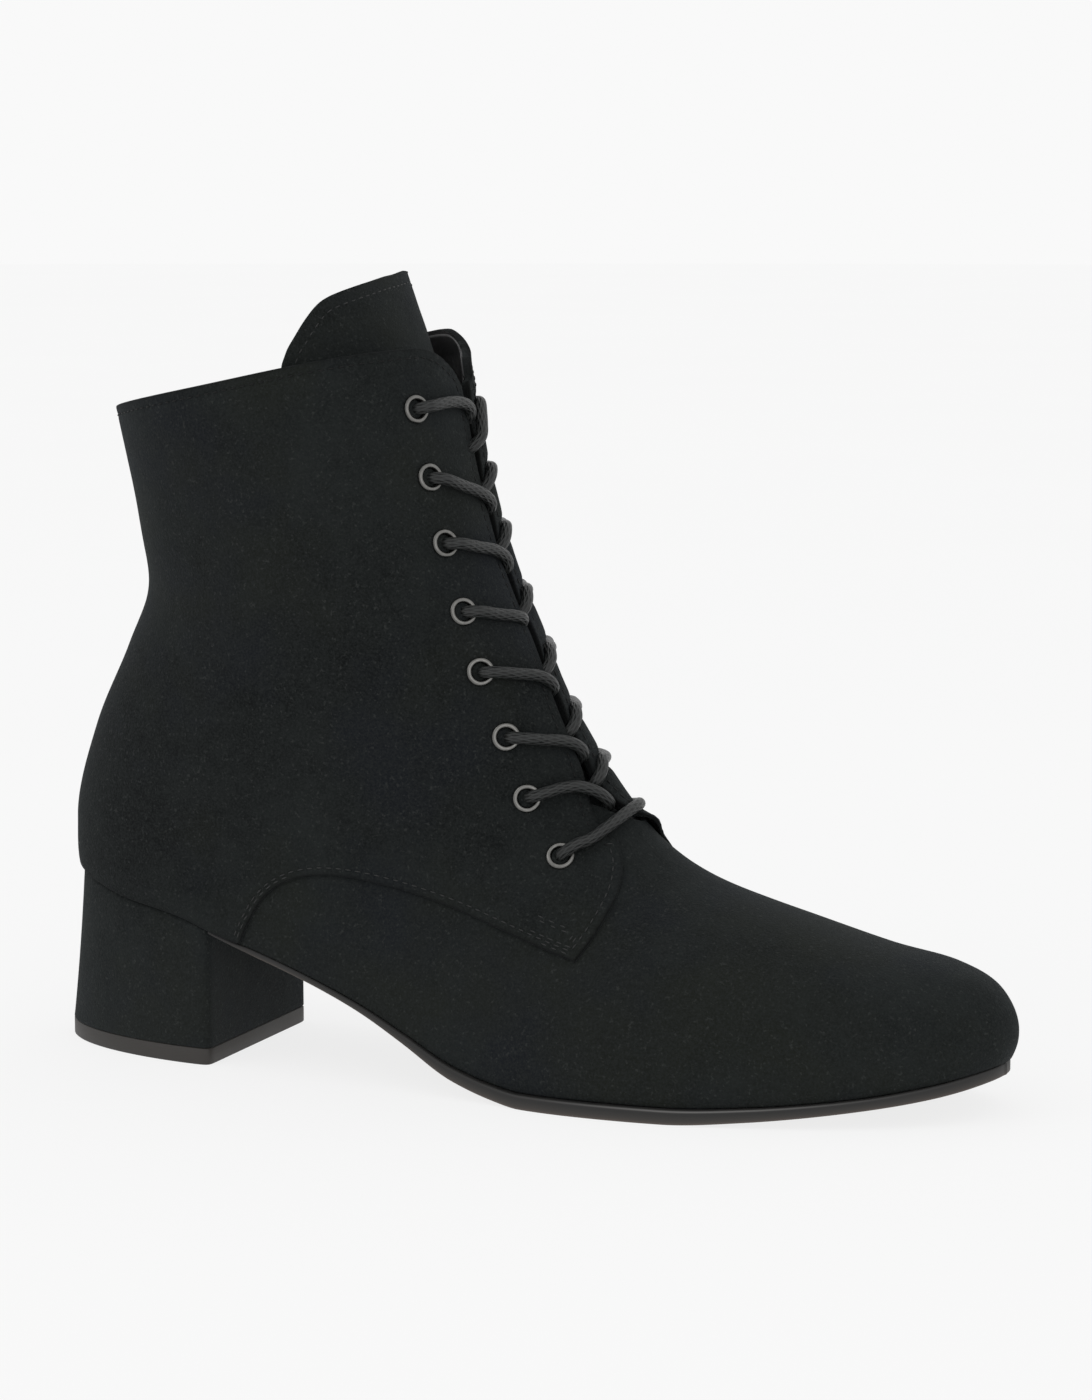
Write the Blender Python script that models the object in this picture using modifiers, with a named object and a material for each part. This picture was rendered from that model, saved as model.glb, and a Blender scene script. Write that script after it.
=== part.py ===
"""Lace-up ankle boot for the right foot, standing on its heel and forefoot.

Metres, +Z up, +X to the toe, -Y the outer side of the foot. The origin is on the floor under the heel.
The upper is a loft of fan sections, from the shaft's top round the heel and the sole to the toe tip. Every
piece that meets it is worked out from the same function.
"""
import math
from collections import namedtuple

import bmesh
import bpy
import numpy as np
from mathutils import Matrix, Vector

# Thicknesses and gaps
WALL = 0.0018
QUARTER_STEP = 0.0010
GAP = 0.0003
TONGUE_THICKNESS = 0.0020
INSOLE_THICKNESS = 0.0026

# Mesh density of the upper: rows between two sections, and points up each half of a row
ROW_STEPS = 3
HALF_COUNT = 15
LATERAL = -1
MEDIAL = 1

# Fan sections. Back is the end on the heel or under the sole, front the end on the shin or the instep.
# Widest is the share of the way from back to front at which the section is widest.
Section = namedtuple(
    "Section",
    "name back_x back_z front_x front_z lateral medial widest round_back round_front back_y front_y",
)
SECTIONS = (
    Section("above collar", -0.0115, 0.1860, 0.0700, 0.2140, 0.0360, 0.0360, 0.50, 2.1, 2.2, 0.0000, 0.001),
    Section("collar", -0.0066, 0.1640, 0.0810, 0.1820, 0.0365, 0.0365, 0.50, 2.1, 2.3, 0.0000, 0.001),
    Section("shaft", -0.0008, 0.1380, 0.0876, 0.1510, 0.0355, 0.0355, 0.50, 2.1, 2.3, 0.0000, 0.001),
    Section("ankle", 0.0012, 0.1200, 0.0952, 0.1270, 0.0340, 0.0340, 0.50, 2.1, 2.2, 0.0000, 0.001),
    Section("heel curve", -0.0054, 0.1030, 0.1046, 0.1080, 0.0325, 0.0325, 0.47, 2.1, 2.1, 0.0000, 0.001),
    Section("heel upper", -0.0148, 0.0820, 0.1130, 0.0930, 0.0320, 0.0320, 0.40, 2.2, 2.0, 0.0000, 0.001),
    Section("heel back", -0.0204, 0.0580, 0.1210, 0.0800, 0.0313, 0.0315, 0.34, 2.3, 2.0, 0.0000, 0.002),
    Section("heel seat", -0.0132, 0.0370, 0.1280, 0.0700, 0.0308, 0.0310, 0.30, 2.5, 2.0, 0.0000, 0.003),
    Section("waist back", 0.0280, 0.0200, 0.1330, 0.0648, 0.0312, 0.0308, 0.28, 3.0, 2.0, 0.0000, 0.003),
    Section("waist", 0.0620, 0.0120, 0.1380, 0.0600, 0.0325, 0.0308, 0.29, 3.2, 2.0, -0.0010, 0.003),
    Section("ball back", 0.0950, 0.0000, 0.1450, 0.0546, 0.0362, 0.0330, 0.32, 3.4, 2.0, -0.0020, 0.004),
    Section("ball", 0.1260, -0.0050, 0.1550, 0.0500, 0.0398, 0.0365, 0.34, 3.6, 2.0, -0.0015, 0.004),
    Section("ball front", 0.1600, -0.0055, 0.1730, 0.0444, 0.0385, 0.0378, 0.36, 3.8, 2.1, 0.0005, 0.004),
    Section("toe back", 0.1890, -0.0035, 0.1940, 0.0388, 0.0320, 0.0310, 0.40, 3.8, 2.2, 0.0030, 0.005),
    Section("toe box", 0.2105, 0.0010, 0.2120, 0.0357, 0.0228, 0.0215, 0.42, 3.4, 2.2, 0.0050, 0.006),
    Section("toe front", 0.2230, 0.0075, 0.2238, 0.0303, 0.0128, 0.0122, 0.45, 2.8, 2.2, 0.0060, 0.006),
    Section("toe tip", 0.2293, 0.0192, 0.2293, 0.0197, 0.0003, 0.0003, 0.50, 2.2, 2.2, 0.0060, 0.006),
)
LAST_SECTION = len(SECTIONS) - 1

# The sole's side line: its top, where the upper stands, and its bottom
SoleLine = namedtuple("SoleLine", "x top bottom")
SOLE_LINE = (
    SoleLine(-0.0300, 0.0496, 0.0480),
    SoleLine(-0.0162, 0.0460, 0.0444),
    SoleLine(-0.0065, 0.0434, 0.0418),
    SoleLine(0.0028, 0.0408, 0.0392),
    SoleLine(0.0143, 0.0388, 0.0372),
    SoleLine(0.0220, 0.0371, 0.0355),
    SoleLine(0.0300, 0.0342, 0.0326),
    SoleLine(0.0440, 0.0302, 0.0287),
    SoleLine(0.0580, 0.0256, 0.0241),
    SoleLine(0.0720, 0.0204, 0.0187),
    SoleLine(0.0860, 0.0142, 0.0119),
    SoleLine(0.1000, 0.0078, 0.0046),
    SoleLine(0.1110, 0.0048, 0.0014),
    SoleLine(0.1200, 0.0036, 0.0000),
    SoleLine(0.1560, 0.0036, 0.0000),
    SoleLine(0.1760, 0.0046, 0.0014),
    SoleLine(0.2000, 0.0070, 0.0042),
    SoleLine(0.2160, 0.0098, 0.0068),
    SoleLine(0.2320, 0.0140, 0.0108),
)

# How far the sole's edge stands out past the upper, from the breast to the toe
SoleEdge = namedtuple("SoleEdge", "x reach")
SOLE_EDGE = (
    SoleEdge(0.0280, 0.0002),
    SoleEdge(0.0600, 0.0006),
    SoleEdge(0.1000, 0.0014),
    SoleEdge(0.1300, 0.0018),
    SoleEdge(0.2050, 0.0016),
    SoleEdge(0.2280, 0.0002),
)
SOLE_STATIONS = 36
SOLE_TOP_ROUND = 0.0006
SOLE_FOOT_ROUND = 0.0004

# Heel block and its top lift
HEEL_BREAST_X = {LATERAL: 0.0288, MEDIAL: 0.0250}
HEEL_LEVELS = 5
HEEL_COUNT = 25
HEEL_OVERHANG = 0.0014
LIFT_HEIGHT = 0.0042
LIFT_BACK_X = -0.0260
LIFT_HALF_WIDTH = 0.0293
LIFT_ROUND = 1.95

# Collar line of each side, back to front, with the rounded top corner of the facing
Line = namedtuple("Line", "x z")
COLLAR_LATERAL = (
    Line(-0.0400, 0.1570),
    Line(-0.0070, 0.1637),
    Line(0.0300, 0.1708),
    Line(0.0560, 0.1763),
    Line(0.0690, 0.1788),
    Line(0.0779, 0.1801),
    Line(0.0805, 0.1799),
    Line(0.0827, 0.1771),
    Line(0.0839, 0.1735),
    Line(0.0851, 0.1700),
    Line(0.0874, 0.1650),
)
COLLAR_MEDIAL = (
    Line(-0.0400, 0.1570),
    Line(-0.0070, 0.1637),
    Line(0.0300, 0.1737),
    Line(0.0450, 0.1783),
    Line(0.0580, 0.1819),
    Line(0.0640, 0.1832),
    Line(0.0690, 0.1832),
    Line(0.0754, 0.1810),
    Line(0.0804, 0.1775),
    Line(0.0824, 0.1752),
    Line(0.0839, 0.1716),
    Line(0.0858, 0.1680),
    Line(0.0884, 0.1640),
)
COLLAR_SPLIT_Y = 0.0050

# Lower and front edge of the quarters over the vamp, from the sole up and forward to the throat
QUARTER_EDGE = (
    Line(0.0370, 0.0240),
    Line(0.0385, 0.0315),
    Line(0.0410, 0.0375),
    Line(0.0450, 0.0440),
    Line(0.0505, 0.0483),
    Line(0.0585, 0.0506),
    Line(0.0690, 0.0505),
    Line(0.0830, 0.0482),
    Line(0.0966, 0.0448),
    Line(0.1102, 0.0407),
    Line(0.1214, 0.0373),
)
QUARTER_FRONT = (
    Line(0.1303, 0.0350),
    Line(0.1335, 0.0412),
    Line(0.1355, 0.0490),
    Line(0.1345, 0.0555),
    Line(0.1310, 0.0610),
    Line(0.1285, 0.0650),
    Line(0.1290, 0.0800),
)

# Throat slot: y of its two edges from the front ridge at each place down the front, in section numbers.
# Its lower end follows the vamp's slanting back edge.
Throat = namedtuple("Throat", "place lateral medial")
THROAT = (
    Throat(0.00, 0.0020, 0.0068),
    Throat(1.00, 0.0020, 0.0062),
    Throat(2.00, 0.0016, 0.0052),
    Throat(3.00, 0.0006, 0.0048),
    Throat(4.00, -0.0014, 0.0024),
    Throat(5.00, -0.0042, -0.0008),
    Throat(6.00, -0.0062, -0.0024),
    Throat(6.50, -0.0076, -0.0018),
    Throat(6.95, -0.0084, -0.0007),
    Throat(7.46, -0.0047, 0.0005),
    Throat(7.90, -0.0027, 0.0012),
    Throat(8.22, -0.0009, 0.0019),
    Throat(8.50, 0.0009, 0.0028),
)
THROAT_OUT = 0.012
THROAT_IN = 0.009

# Tongue: half its span as a share of the half section, and its depth under the upper at ridge and edge
Tongue = namedtuple("Tongue", "place span ridge_depth edge_depth")
TONGUE = (
    Tongue(0.430, 0.150, 0.0100, 0.0085),
    Tongue(0.436, 0.215, 0.0100, 0.0075),
    Tongue(0.452, 0.262, 0.0100, 0.0064),
    Tongue(0.480, 0.290, 0.0100, 0.0056),
    Tongue(0.570, 0.328, 0.0098, 0.0048),
    Tongue(0.690, 0.361, 0.0096, 0.0043),
    Tongue(0.820, 0.387, 0.0093, 0.0039),
    Tongue(1.00, 0.405, 0.0090, 0.0036),
    Tongue(2.00, 0.375, 0.0062, 0.0036),
    Tongue(3.00, 0.340, 0.0054, 0.0038),
    Tongue(4.00, 0.305, 0.0050, 0.0044),
    Tongue(5.00, 0.270, 0.0050, 0.0048),
    Tongue(6.00, 0.240, 0.0050, 0.0050),
    Tongue(7.00, 0.215, 0.0050, 0.0048),
    Tongue(8.00, 0.190, 0.0040, 0.0038),
    Tongue(9.00, 0.170, 0.0026, 0.0026),
    Tongue(9.60, 0.150, 0.0024, 0.0024),
)
TONGUE_HALF_COLUMNS = 5
TONGUE_TOP_ROWS = 7
# The tongue's top edge climbs to the inner side: places for each unit of share, up to an end of the slope
TONGUE_SLANT = 0.27
TONGUE_SLANT_END = 0.10
TONGUE_SLANT_FADE = 1.30

# Eyelets, top to bottom, as seen from the side. The inner row stands closer together and further back.
EYELETS = {
    LATERAL: (
        Line(0.0807, 0.1655),
        Line(0.0842, 0.1489),
        Line(0.0883, 0.1329),
        Line(0.0935, 0.1164),
        Line(0.0983, 0.1020),
        Line(0.1046, 0.0862),
        Line(0.1100, 0.0713),
        Line(0.1200, 0.0576),
    ),
    MEDIAL: (
        Line(0.0756, 0.1646),
        Line(0.0789, 0.1485),
        Line(0.0830, 0.1343),
        Line(0.0884, 0.1189),
        Line(0.0947, 0.1049),
        Line(0.1006, 0.0900),
        Line(0.1067, 0.0765),
        Line(0.1152, 0.0624),
    ),
}
EYELET_COUNT = len(EYELETS[LATERAL])
EYELET_HOLE_RADIUS = 0.0028
EYELET_STEPS = 8
EyeletProfile = namedtuple("EyeletProfile", "radius height")
EYELET_PROFILE = (
    EyeletProfile(0.0021, -0.0030),
    EyeletProfile(0.0025, -0.0030),
    EyeletProfile(0.0025, 0.0003),
    EyeletProfile(0.0035, 0.0003),
    EyeletProfile(0.0035, 0.0006),
    EyeletProfile(0.0029, 0.0009),
    EyeletProfile(0.0021, 0.0005),
)

# Lace
LACE_RADIUS = 0.00145
LACE_SIDES_RESOLUTION = 1
LACE_OVER_EYELET = 0.0044
LACE_OVER_QUARTER = 0.0030
LACE_AT_CROSSING = 0.0028
CROSSING_SHARE = 0.46
LONGEST_FALL = 1.10

# Colours of the pieces
SUEDE = (0.030, 0.031, 0.036, 1.0)
LINING = (0.020, 0.020, 0.021, 1.0)
RUBBER = (0.085, 0.080, 0.075, 1.0)
METAL = (0.420, 0.410, 0.390, 1.0)
CORD = (0.060, 0.060, 0.063, 1.0)


def clear_scene():
    for obj in list(bpy.data.objects):
        bpy.data.objects.remove(obj, do_unlink=True)


def new_collection(name, hidden):
    collection = bpy.data.collections.new(name)
    bpy.context.scene.collection.children.link(collection)
    collection.hide_render = hidden
    return collection


def material(name, colour, roughness, metallic=0.0):
    made = bpy.data.materials.new(name)
    made.use_nodes = True
    shader = made.node_tree.nodes["Principled BSDF"]
    shader.inputs["Base Color"].default_value = colour
    shader.inputs["Roughness"].default_value = roughness
    shader.inputs["Metallic"].default_value = metallic
    made.diffuse_color = colour
    return made


def smooth_values(knots, values, at):
    """Monotone cubic through a table, so that flat runs stay exactly flat."""
    knots = np.asarray(knots, float)
    values = np.asarray(values, float)
    step = np.diff(knots)
    slope = np.diff(values) / step
    tangent = np.zeros_like(values)
    same = slope[:-1] * slope[1:] > 0
    tangent[1:-1][same] = 2 * slope[:-1][same] * slope[1:][same] / (slope[:-1][same] + slope[1:][same])
    tangent[0] = slope[0]
    tangent[-1] = slope[-1]
    at = np.clip(at, knots[0], knots[-1])
    i = np.clip(np.searchsorted(knots, at) - 1, 0, len(step) - 1)
    t = (at - knots[i]) / step[i]
    start = (2 * t**3 - 3 * t**2 + 1) * values[i] + (t**3 - 2 * t**2 + t) * step[i] * tangent[i]
    end = (3 * t**2 - 2 * t**3) * values[i + 1] + (t**3 - t**2) * step[i] * tangent[i + 1]
    return start + end


def column(table, name):
    return [getattr(row, name) for row in table]


def sole_top(x):
    return smooth_values(column(SOLE_LINE, "x"), column(SOLE_LINE, "top"), x)


def sole_bottom(x):
    return smooth_values(column(SOLE_LINE, "x"), column(SOLE_LINE, "bottom"), x)


def sole_stations():
    """Stations along the sole for cutters, closest over the heel breast."""
    return np.concatenate([np.linspace(-0.035, 0.010, 9), np.linspace(0.013, 0.043, 16), np.linspace(0.047, 0.235, 42)])


def padded_sections():
    rows = np.array([section[1:] for section in SECTIONS], float)
    before = 2 * rows[0] - rows[1]
    after = rows[-2].copy()
    after[4:6] = -after[4:6]
    after[[1, 3]] = after[[3, 1]]
    return np.vstack([before, rows, after])


PADDED = padded_sections()


def section_at(place):
    """One section between the table's rows, place 0 at the shaft's top and LAST_SECTION at the toe tip."""
    i = int(min(max(math.floor(place), 0), LAST_SECTION - 1))
    t = place - i
    p0, p1, p2, p3 = PADDED[i : i + 4]
    linear = (p2 - p0) * t
    square = (2 * p0 - 5 * p1 + 4 * p2 - p3) * t**2
    cube = (3 * p1 - p0 - 3 * p2 + p3) * t**3
    return 0.5 * (2 * p1 + linear + square + cube)


def surface(place, share, side):
    """A point of the vamp-level surface: share 0 at the section's back end, 1 at its front end."""
    if share < 0:
        share, side = -share, -side
    if share > 1:
        share, side = 2 - share, -side
    back_x, back_z, front_x, front_z, lateral, medial, widest, low, high, back_y, front_y = section_at(place)
    angle = math.pi * share
    if share <= 0.5:
        along = widest * (1 - abs(math.cos(angle)) ** (2 / low))
        out = abs(math.sin(angle)) ** (2 / low)
    else:
        along = widest + (1 - widest) * abs(math.cos(angle)) ** (2 / high)
        out = abs(math.sin(angle)) ** (2 / high)
    half = lateral if side == LATERAL else medial
    middle = back_y + (front_y - back_y) * along
    return np.array(
        [
            back_x + (front_x - back_x) * along,
            middle + side * half * out,
            back_z + (front_z - back_z) * along,
        ]
    )


def surface_normal(place, share, side):
    if place > LAST_SECTION - 0.02:
        return np.array([1.0, 0.0, 0.0])
    down = surface(place + 0.02, share, side) - surface(max(place - 0.02, 0.0), share, side)
    round_it = surface(place, share + 0.004, side) - surface(place, share - 0.004, side)
    normal = np.cross(down, round_it) * -side
    return normal / np.linalg.norm(normal)


def lifted(place, share, side, lift):
    return surface(place, share, side) + lift * surface_normal(place, share, side)


def locate(x, z):
    """The place and the share at which the upper's side is seen at this x and z."""
    low, high = 0.0, float(LAST_SECTION)
    for _ in range(50):
        place = (low + high) / 2
        back_x, back_z, front_x, front_z = section_at(place)[:4]
        above = (front_x - back_x) * (z - back_z) - (front_z - back_z) * (x - back_x)
        if above > 0:
            high = place
        else:
            low = place
    widest, round_back, round_front = section_at(place)[6:9]
    chord = np.array([front_x - back_x, front_z - back_z])
    along = float(np.dot([x - back_x, z - back_z], chord) / np.dot(chord, chord))
    if along < widest:
        angle = math.acos((1 - along / widest) ** (round_back / 2))
    else:
        angle = math.pi - math.acos(min(1.0, (along - widest) / (1 - widest)) ** (round_front / 2))
    return place, angle / math.pi


def front_share(place, y):
    """The share and side at which the front half of a section has this y."""
    lateral, medial = section_at(place)[4:6]
    round_front, _, front_y = section_at(place)[8:11]
    side = LATERAL if y < front_y else MEDIAL
    half = lateral if side == LATERAL else medial
    out = min(0.999, abs(y - front_y) / half)
    return 1 - math.asin(out ** (round_front / 2)) / math.pi, side


def over_front(place, y, lift):
    share, side = front_share(place, y)
    return lifted(place, share, side, lift)


def mesh_object(name, bm, collection, look=None):
    bmesh.ops.recalc_face_normals(bm, faces=bm.faces)
    mesh = bpy.data.meshes.new(name)
    bm.to_mesh(mesh)
    bm.free()
    obj = bpy.data.objects.new(name, mesh)
    collection.objects.link(obj)
    if look:
        mesh.materials.append(look)
    return obj


def helper(obj):
    obj.hide_render = True
    obj.display_type = "WIRE"
    return obj


def boolean(obj, other, operation):
    modifier = obj.modifiers.new(other.name, "BOOLEAN")
    modifier.object = other
    modifier.operation = operation
    modifier.solver = "EXACT"


def loft(name, rings, collection, look=None, tip=None, strip_top=False):
    """A closed skin over rings of equal length. The last ring closes on a tip, or with a face.

    strip_top closes the first ring with strips between its two halves, for a top that curves.
    """
    bm = bmesh.new()
    rows = [[bm.verts.new(point) for point in ring] for ring in rings]
    count = len(rows[0])
    for upper_row, lower_row in zip(rows, rows[1:]):
        for k in range(count):
            n = (k + 1) % count
            bm.faces.new((upper_row[k], upper_row[n], lower_row[n], lower_row[k]))
    if strip_top:
        for k in range((count - 1) // 2):
            corners = (rows[0][k], rows[0][k + 1], rows[0][count - 2 - k], rows[0][count - 1 - k])
            bm.faces.new(list(dict.fromkeys(corners)))
    else:
        bm.faces.new(rows[0])
    if tip is None:
        bm.faces.new(rows[-1])
    else:
        point = bm.verts.new(tip)
        for k in range(count):
            bm.faces.new((rows[-1][k], rows[-1][(k + 1) % count], point))
    return mesh_object(name, bm, collection, look)


def prism(name, outline, y_low, y_high, collection):
    """A side-view outline carried from one y to another."""
    bm = bmesh.new()
    face = bm.faces.new([bm.verts.new((x, y_low, z)) for x, z in outline])
    pulled = bmesh.ops.extrude_face_region(bm, geom=[face])
    moved = [item for item in pulled["geom"] if isinstance(item, bmesh.types.BMVert)]
    bmesh.ops.translate(bm, verts=moved, vec=(0.0, y_high - y_low, 0.0))
    return helper(mesh_object(name, bm, collection))


def smooth_line(points, steps):
    """Catmull-Rom through side-view points."""
    knots = np.array(points, float)
    knots = np.vstack([2 * knots[0] - knots[1], knots, 2 * knots[-1] - knots[-2]])
    line = []
    for p0, p1, p2, p3 in zip(knots, knots[1:], knots[2:], knots[3:]):
        for step in range(steps):
            t = step / steps
            square = (2 * p0 - 5 * p1 + 4 * p2 - p3) * t**2
            cube = (3 * p1 - p0 - 3 * p2 + p3) * t**3
            line.append(0.5 * (2 * p1 + (p2 - p0) * t + square + cube))
    line.append(knots[-2])
    return line


def boot_form(name, offset, collection, look=None):
    """The whole boot as one closed body, this far outside the vamp-level surface."""
    rings = []
    for row in range(LAST_SECTION * ROW_STEPS):
        place = row / ROW_STEPS
        shares = np.linspace(0, 1, HALF_COUNT)
        ring = [lifted(place, share, LATERAL, offset) for share in shares]
        ring += [lifted(place, share, MEDIAL, offset) for share in shares[-2:0:-1]]
        rings.append(ring)
    return loft(name, rings, collection, look, tip=lifted(LAST_SECTION, 0.5, LATERAL, offset))


def feather_outline(side):
    """Plan outline of the upper where it stands on the sole, from the back of the heel to the toe."""
    outline = []
    shares = np.linspace(0.0, 0.5, 120)
    for place in np.linspace(6.0, LAST_SECTION - 0.01, 420):
        points = np.array([surface(place, share, side) for share in shares])
        above = points[:, 2] - sole_top(points[:, 0])
        rising = np.where((above[:-1] < 0) & (above[1:] >= 0))[0]
        if len(rising):
            i = rising[-1]
            t = above[i] / (above[i] - above[i + 1])
            outline.append((points[i] + t * (points[i + 1] - points[i]))[:2])
    return np.array(outline)


def spread(outline, shares):
    """Points at these shares of an outline's length."""
    length = np.concatenate([[0.0], np.cumsum(np.linalg.norm(np.diff(outline, axis=0), axis=1))])
    at = np.asarray(shares) * length[-1]
    return np.stack([np.interp(at, length, outline[:, i]) for i in range(2)], axis=-1)


def build_upper(parts, cutters, look):
    upper = boot_form("upper", 0.0, parts, look)
    quarter = helper(boot_form("quarter_form", QUARTER_STEP, cutters))
    front = smooth_line(QUARTER_FRONT, 2)
    region = smooth_line(QUARTER_EDGE, 2) + front
    region += [(0.145, 0.085), (0.145, 0.240), (-0.060, 0.240), (-0.060, 0.010), (0.0370, 0.010)]
    boolean(quarter, prism("quarter_region", region, -0.08, 0.08, cutters), "INTERSECT")
    boolean(upper, quarter, "UNION")
    for name, line, y_end in (("lateral", COLLAR_LATERAL, -0.08), ("medial", COLLAR_MEDIAL, 0.08)):
        above = smooth_line(line, 2) + [(0.120, 0.161), (0.120, 0.260), (-0.060, 0.260)]
        boolean(upper, prism("above_collar_" + name, above, COLLAR_SPLIT_Y, y_end, cutters), "DIFFERENCE")
    xs = sole_stations()
    below = [(x, sole_top(x) + GAP) for x in xs] + [(0.240, -0.03), (-0.060, -0.03)]
    boolean(upper, prism("sole_bed", below, -0.08, 0.08, cutters), "DIFFERENCE")
    boolean(upper, helper(boot_form("inside", -WALL, cutters)), "DIFFERENCE")
    boolean(upper, throat_slot(cutters), "DIFFERENCE")
    boolean(upper, eyelet_holes(cutters), "DIFFERENCE")
    return upper


def throat_edge(place, side):
    """How far a facing's edge lies from the front ridge, in y."""
    name = "lateral" if side == LATERAL else "medial"
    return float(smooth_values(column(THROAT, "place"), column(THROAT, name), place))


def throat_slot(cutters):
    rings = []
    for place in np.concatenate([np.linspace(0.0, 6.5, 14), column(THROAT, "place")[-5:]]):
        ridge = surface(place, 1.0, LATERAL)
        normal = surface_normal(place, 1.0, LATERAL)
        lateral, medial = (np.array([0.0, throat_edge(place, side), 0.0]) for side in (LATERAL, MEDIAL))
        outer = ridge + THROAT_OUT * normal
        inner = ridge - THROAT_IN * normal
        rings.append([outer + lateral, outer + medial, inner + medial, inner + lateral])
    return helper(loft("throat_slot", rings, cutters))


def eyelet_frame(row, side):
    """Where an eyelet sits on the quarter, and the way it faces."""
    place, share = locate(row.x, row.z)
    normal = Vector(surface_normal(place, share, side))
    origin = Vector(lifted(place, share, side, QUARTER_STEP))
    turn = normal.to_track_quat("Z", "Y").to_matrix().to_4x4()
    return Matrix.Translation(origin) @ turn


def eyelet_holes(cutters):
    bm = bmesh.new()
    for side in (LATERAL, MEDIAL):
        for row in EYELETS[side]:
            bmesh.ops.create_cone(
                bm,
                cap_ends=True,
                segments=EYELET_STEPS,
                radius1=EYELET_HOLE_RADIUS,
                radius2=EYELET_HOLE_RADIUS,
                depth=0.012,
                matrix=eyelet_frame(row, side),
            )
    return helper(mesh_object("eyelet_holes", bm, cutters))


def build_eyelets(parts, look):
    for side, word in ((LATERAL, "lateral"), (MEDIAL, "medial")):
        for number, row in enumerate(EYELETS[side], 1):
            bm = bmesh.new()
            ring = [bm.verts.new((point.radius, 0.0, point.height)) for point in EYELET_PROFILE[::-1]]
            for first, second in zip(ring, ring[1:] + ring[:1]):
                bm.edges.new((first, second))
            obj = mesh_object("eyelet_%s_%d" % (word, number), bm, parts, look)
            obj.matrix_world = eyelet_frame(row, side)
            screw = obj.modifiers.new("turned", "SCREW")
            screw.steps = EYELET_STEPS
            screw.render_steps = EYELET_STEPS
            screw.use_merge_vertices = True
            screw.merge_threshold = 0.00001


def build_tongue(parts, look):
    places = np.concatenate([column(TONGUE, "place")[:TONGUE_TOP_ROWS], np.linspace(1.0, 9.6, 13)])
    rings = []
    for place in places:
        span, ridge, edge = [
            float(smooth_values(column(TONGUE, "place"), column(TONGUE, name), place))
            for name in ("span", "ridge_depth", "edge_depth")
        ]
        outer, inner = [], []
        for k in range(-TONGUE_HALF_COLUMNS, TONGUE_HALF_COLUMNS + 1):
            across = k / TONGUE_HALF_COLUMNS
            side = LATERAL if across < 0 else MEDIAL
            share = 1 - span * abs(across)
            depth = edge + (ridge - edge) * (1 - across * across)
            climb = TONGUE_SLANT * min(span * across, TONGUE_SLANT_END)
            at = place - climb * max(0.0, (TONGUE_SLANT_FADE - place) / (TONGUE_SLANT_FADE - TONGUE[0].place))
            outer.append(lifted(at, share, side, -depth))
            inner.append(lifted(at, share, side, -depth - TONGUE_THICKNESS))
        rings.append(outer + inner[::-1])
    return loft("tongue", rings, parts, look, strip_top=True)


def build_insole(parts, cutters, look):
    inside = boot_form("insole", -WALL - GAP, parts, look)
    xs = sole_stations()
    lower = [(x, sole_top(x) + GAP) for x in xs]
    upper = [(x, sole_top(x) + GAP + INSOLE_THICKNESS) for x in xs[::-1]]
    boolean(inside, prism("insole_layer", lower + upper, -0.08, 0.08, cutters), "INTERSECT")
    return inside


def sole_side(side):
    """Edge of the outsole in plan, from the breast to the toe, with the inward direction at each point."""
    outline = feather_outline(side)
    breast = HEEL_BREAST_X[side] + GAP
    outline = outline[outline[:, 0] > breast]
    other = feather_outline(-side)
    tip = (outline[-1] + other[-1]) / 2 + np.array([0.0004, 0.0])
    outline = np.vstack([outline, tip])
    along = np.gradient(outline, axis=0)
    along[-1] = (0.0, -side)
    outward = np.stack([-along[:, 1], along[:, 0]], axis=-1) * side
    outward /= np.linalg.norm(outward, axis=1)[:, None]
    reach = smooth_values(column(SOLE_EDGE, "x"), column(SOLE_EDGE, "reach"), outline[:, 0])
    edge = outline + outward * reach[:, None]
    shares = 1 - (1 - np.linspace(0.0, 0.996, SOLE_STATIONS)) ** 1.25
    points = spread(edge, shares)
    points[0, 0] = breast
    inward = np.stack(
        [-np.interp(points[:, 0], edge[:, 0], outward[:, 0]), -np.interp(points[:, 0], edge[:, 0], outward[:, 1])],
        axis=-1,
    )
    inward[0] = (0.0, -side)
    return points, inward


def build_outsole(parts, look):
    sides = {side: sole_side(side) for side in (LATERAL, MEDIAL)}
    rings = []
    for k in range(SOLE_STATIONS):
        ring = []
        for side in (LATERAL, MEDIAL):
            (x, y), (in_x, in_y) = sides[side][0][k], sides[side][1][k]
            top, bottom = float(sole_top(x)), float(sole_bottom(x))
            corner = [
                (x + SOLE_TOP_ROUND * in_x, y + SOLE_TOP_ROUND * in_y, top),
                (x, y, top - SOLE_TOP_ROUND),
                (x, y, bottom + SOLE_FOOT_ROUND),
                (x + SOLE_FOOT_ROUND * in_x, y + SOLE_FOOT_ROUND * in_y, bottom),
            ]
            ring += corner if side == LATERAL else corner[::-1]
        rings.append(ring)
    return loft("outsole", rings, parts, look)


def horseshoe(count):
    """Plan outline of the lift, from the outer breast corner round the back to the inner one."""
    points = []
    for angle in np.linspace(0, math.pi, count):
        back = abs(math.sin(angle)) ** (2 / LIFT_ROUND)
        out = math.copysign(abs(math.cos(angle)) ** (2 / LIFT_ROUND), -math.cos(angle))
        breast = HEEL_BREAST_X[LATERAL if out < 0 else MEDIAL]
        middle = (HEEL_BREAST_X[LATERAL] + HEEL_BREAST_X[MEDIAL]) / 2
        start_x = middle + (breast - middle) * abs(out)
        points.append((start_x - (start_x - LIFT_BACK_X) * back, LIFT_HALF_WIDTH * out))
    return np.array(points)


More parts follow.
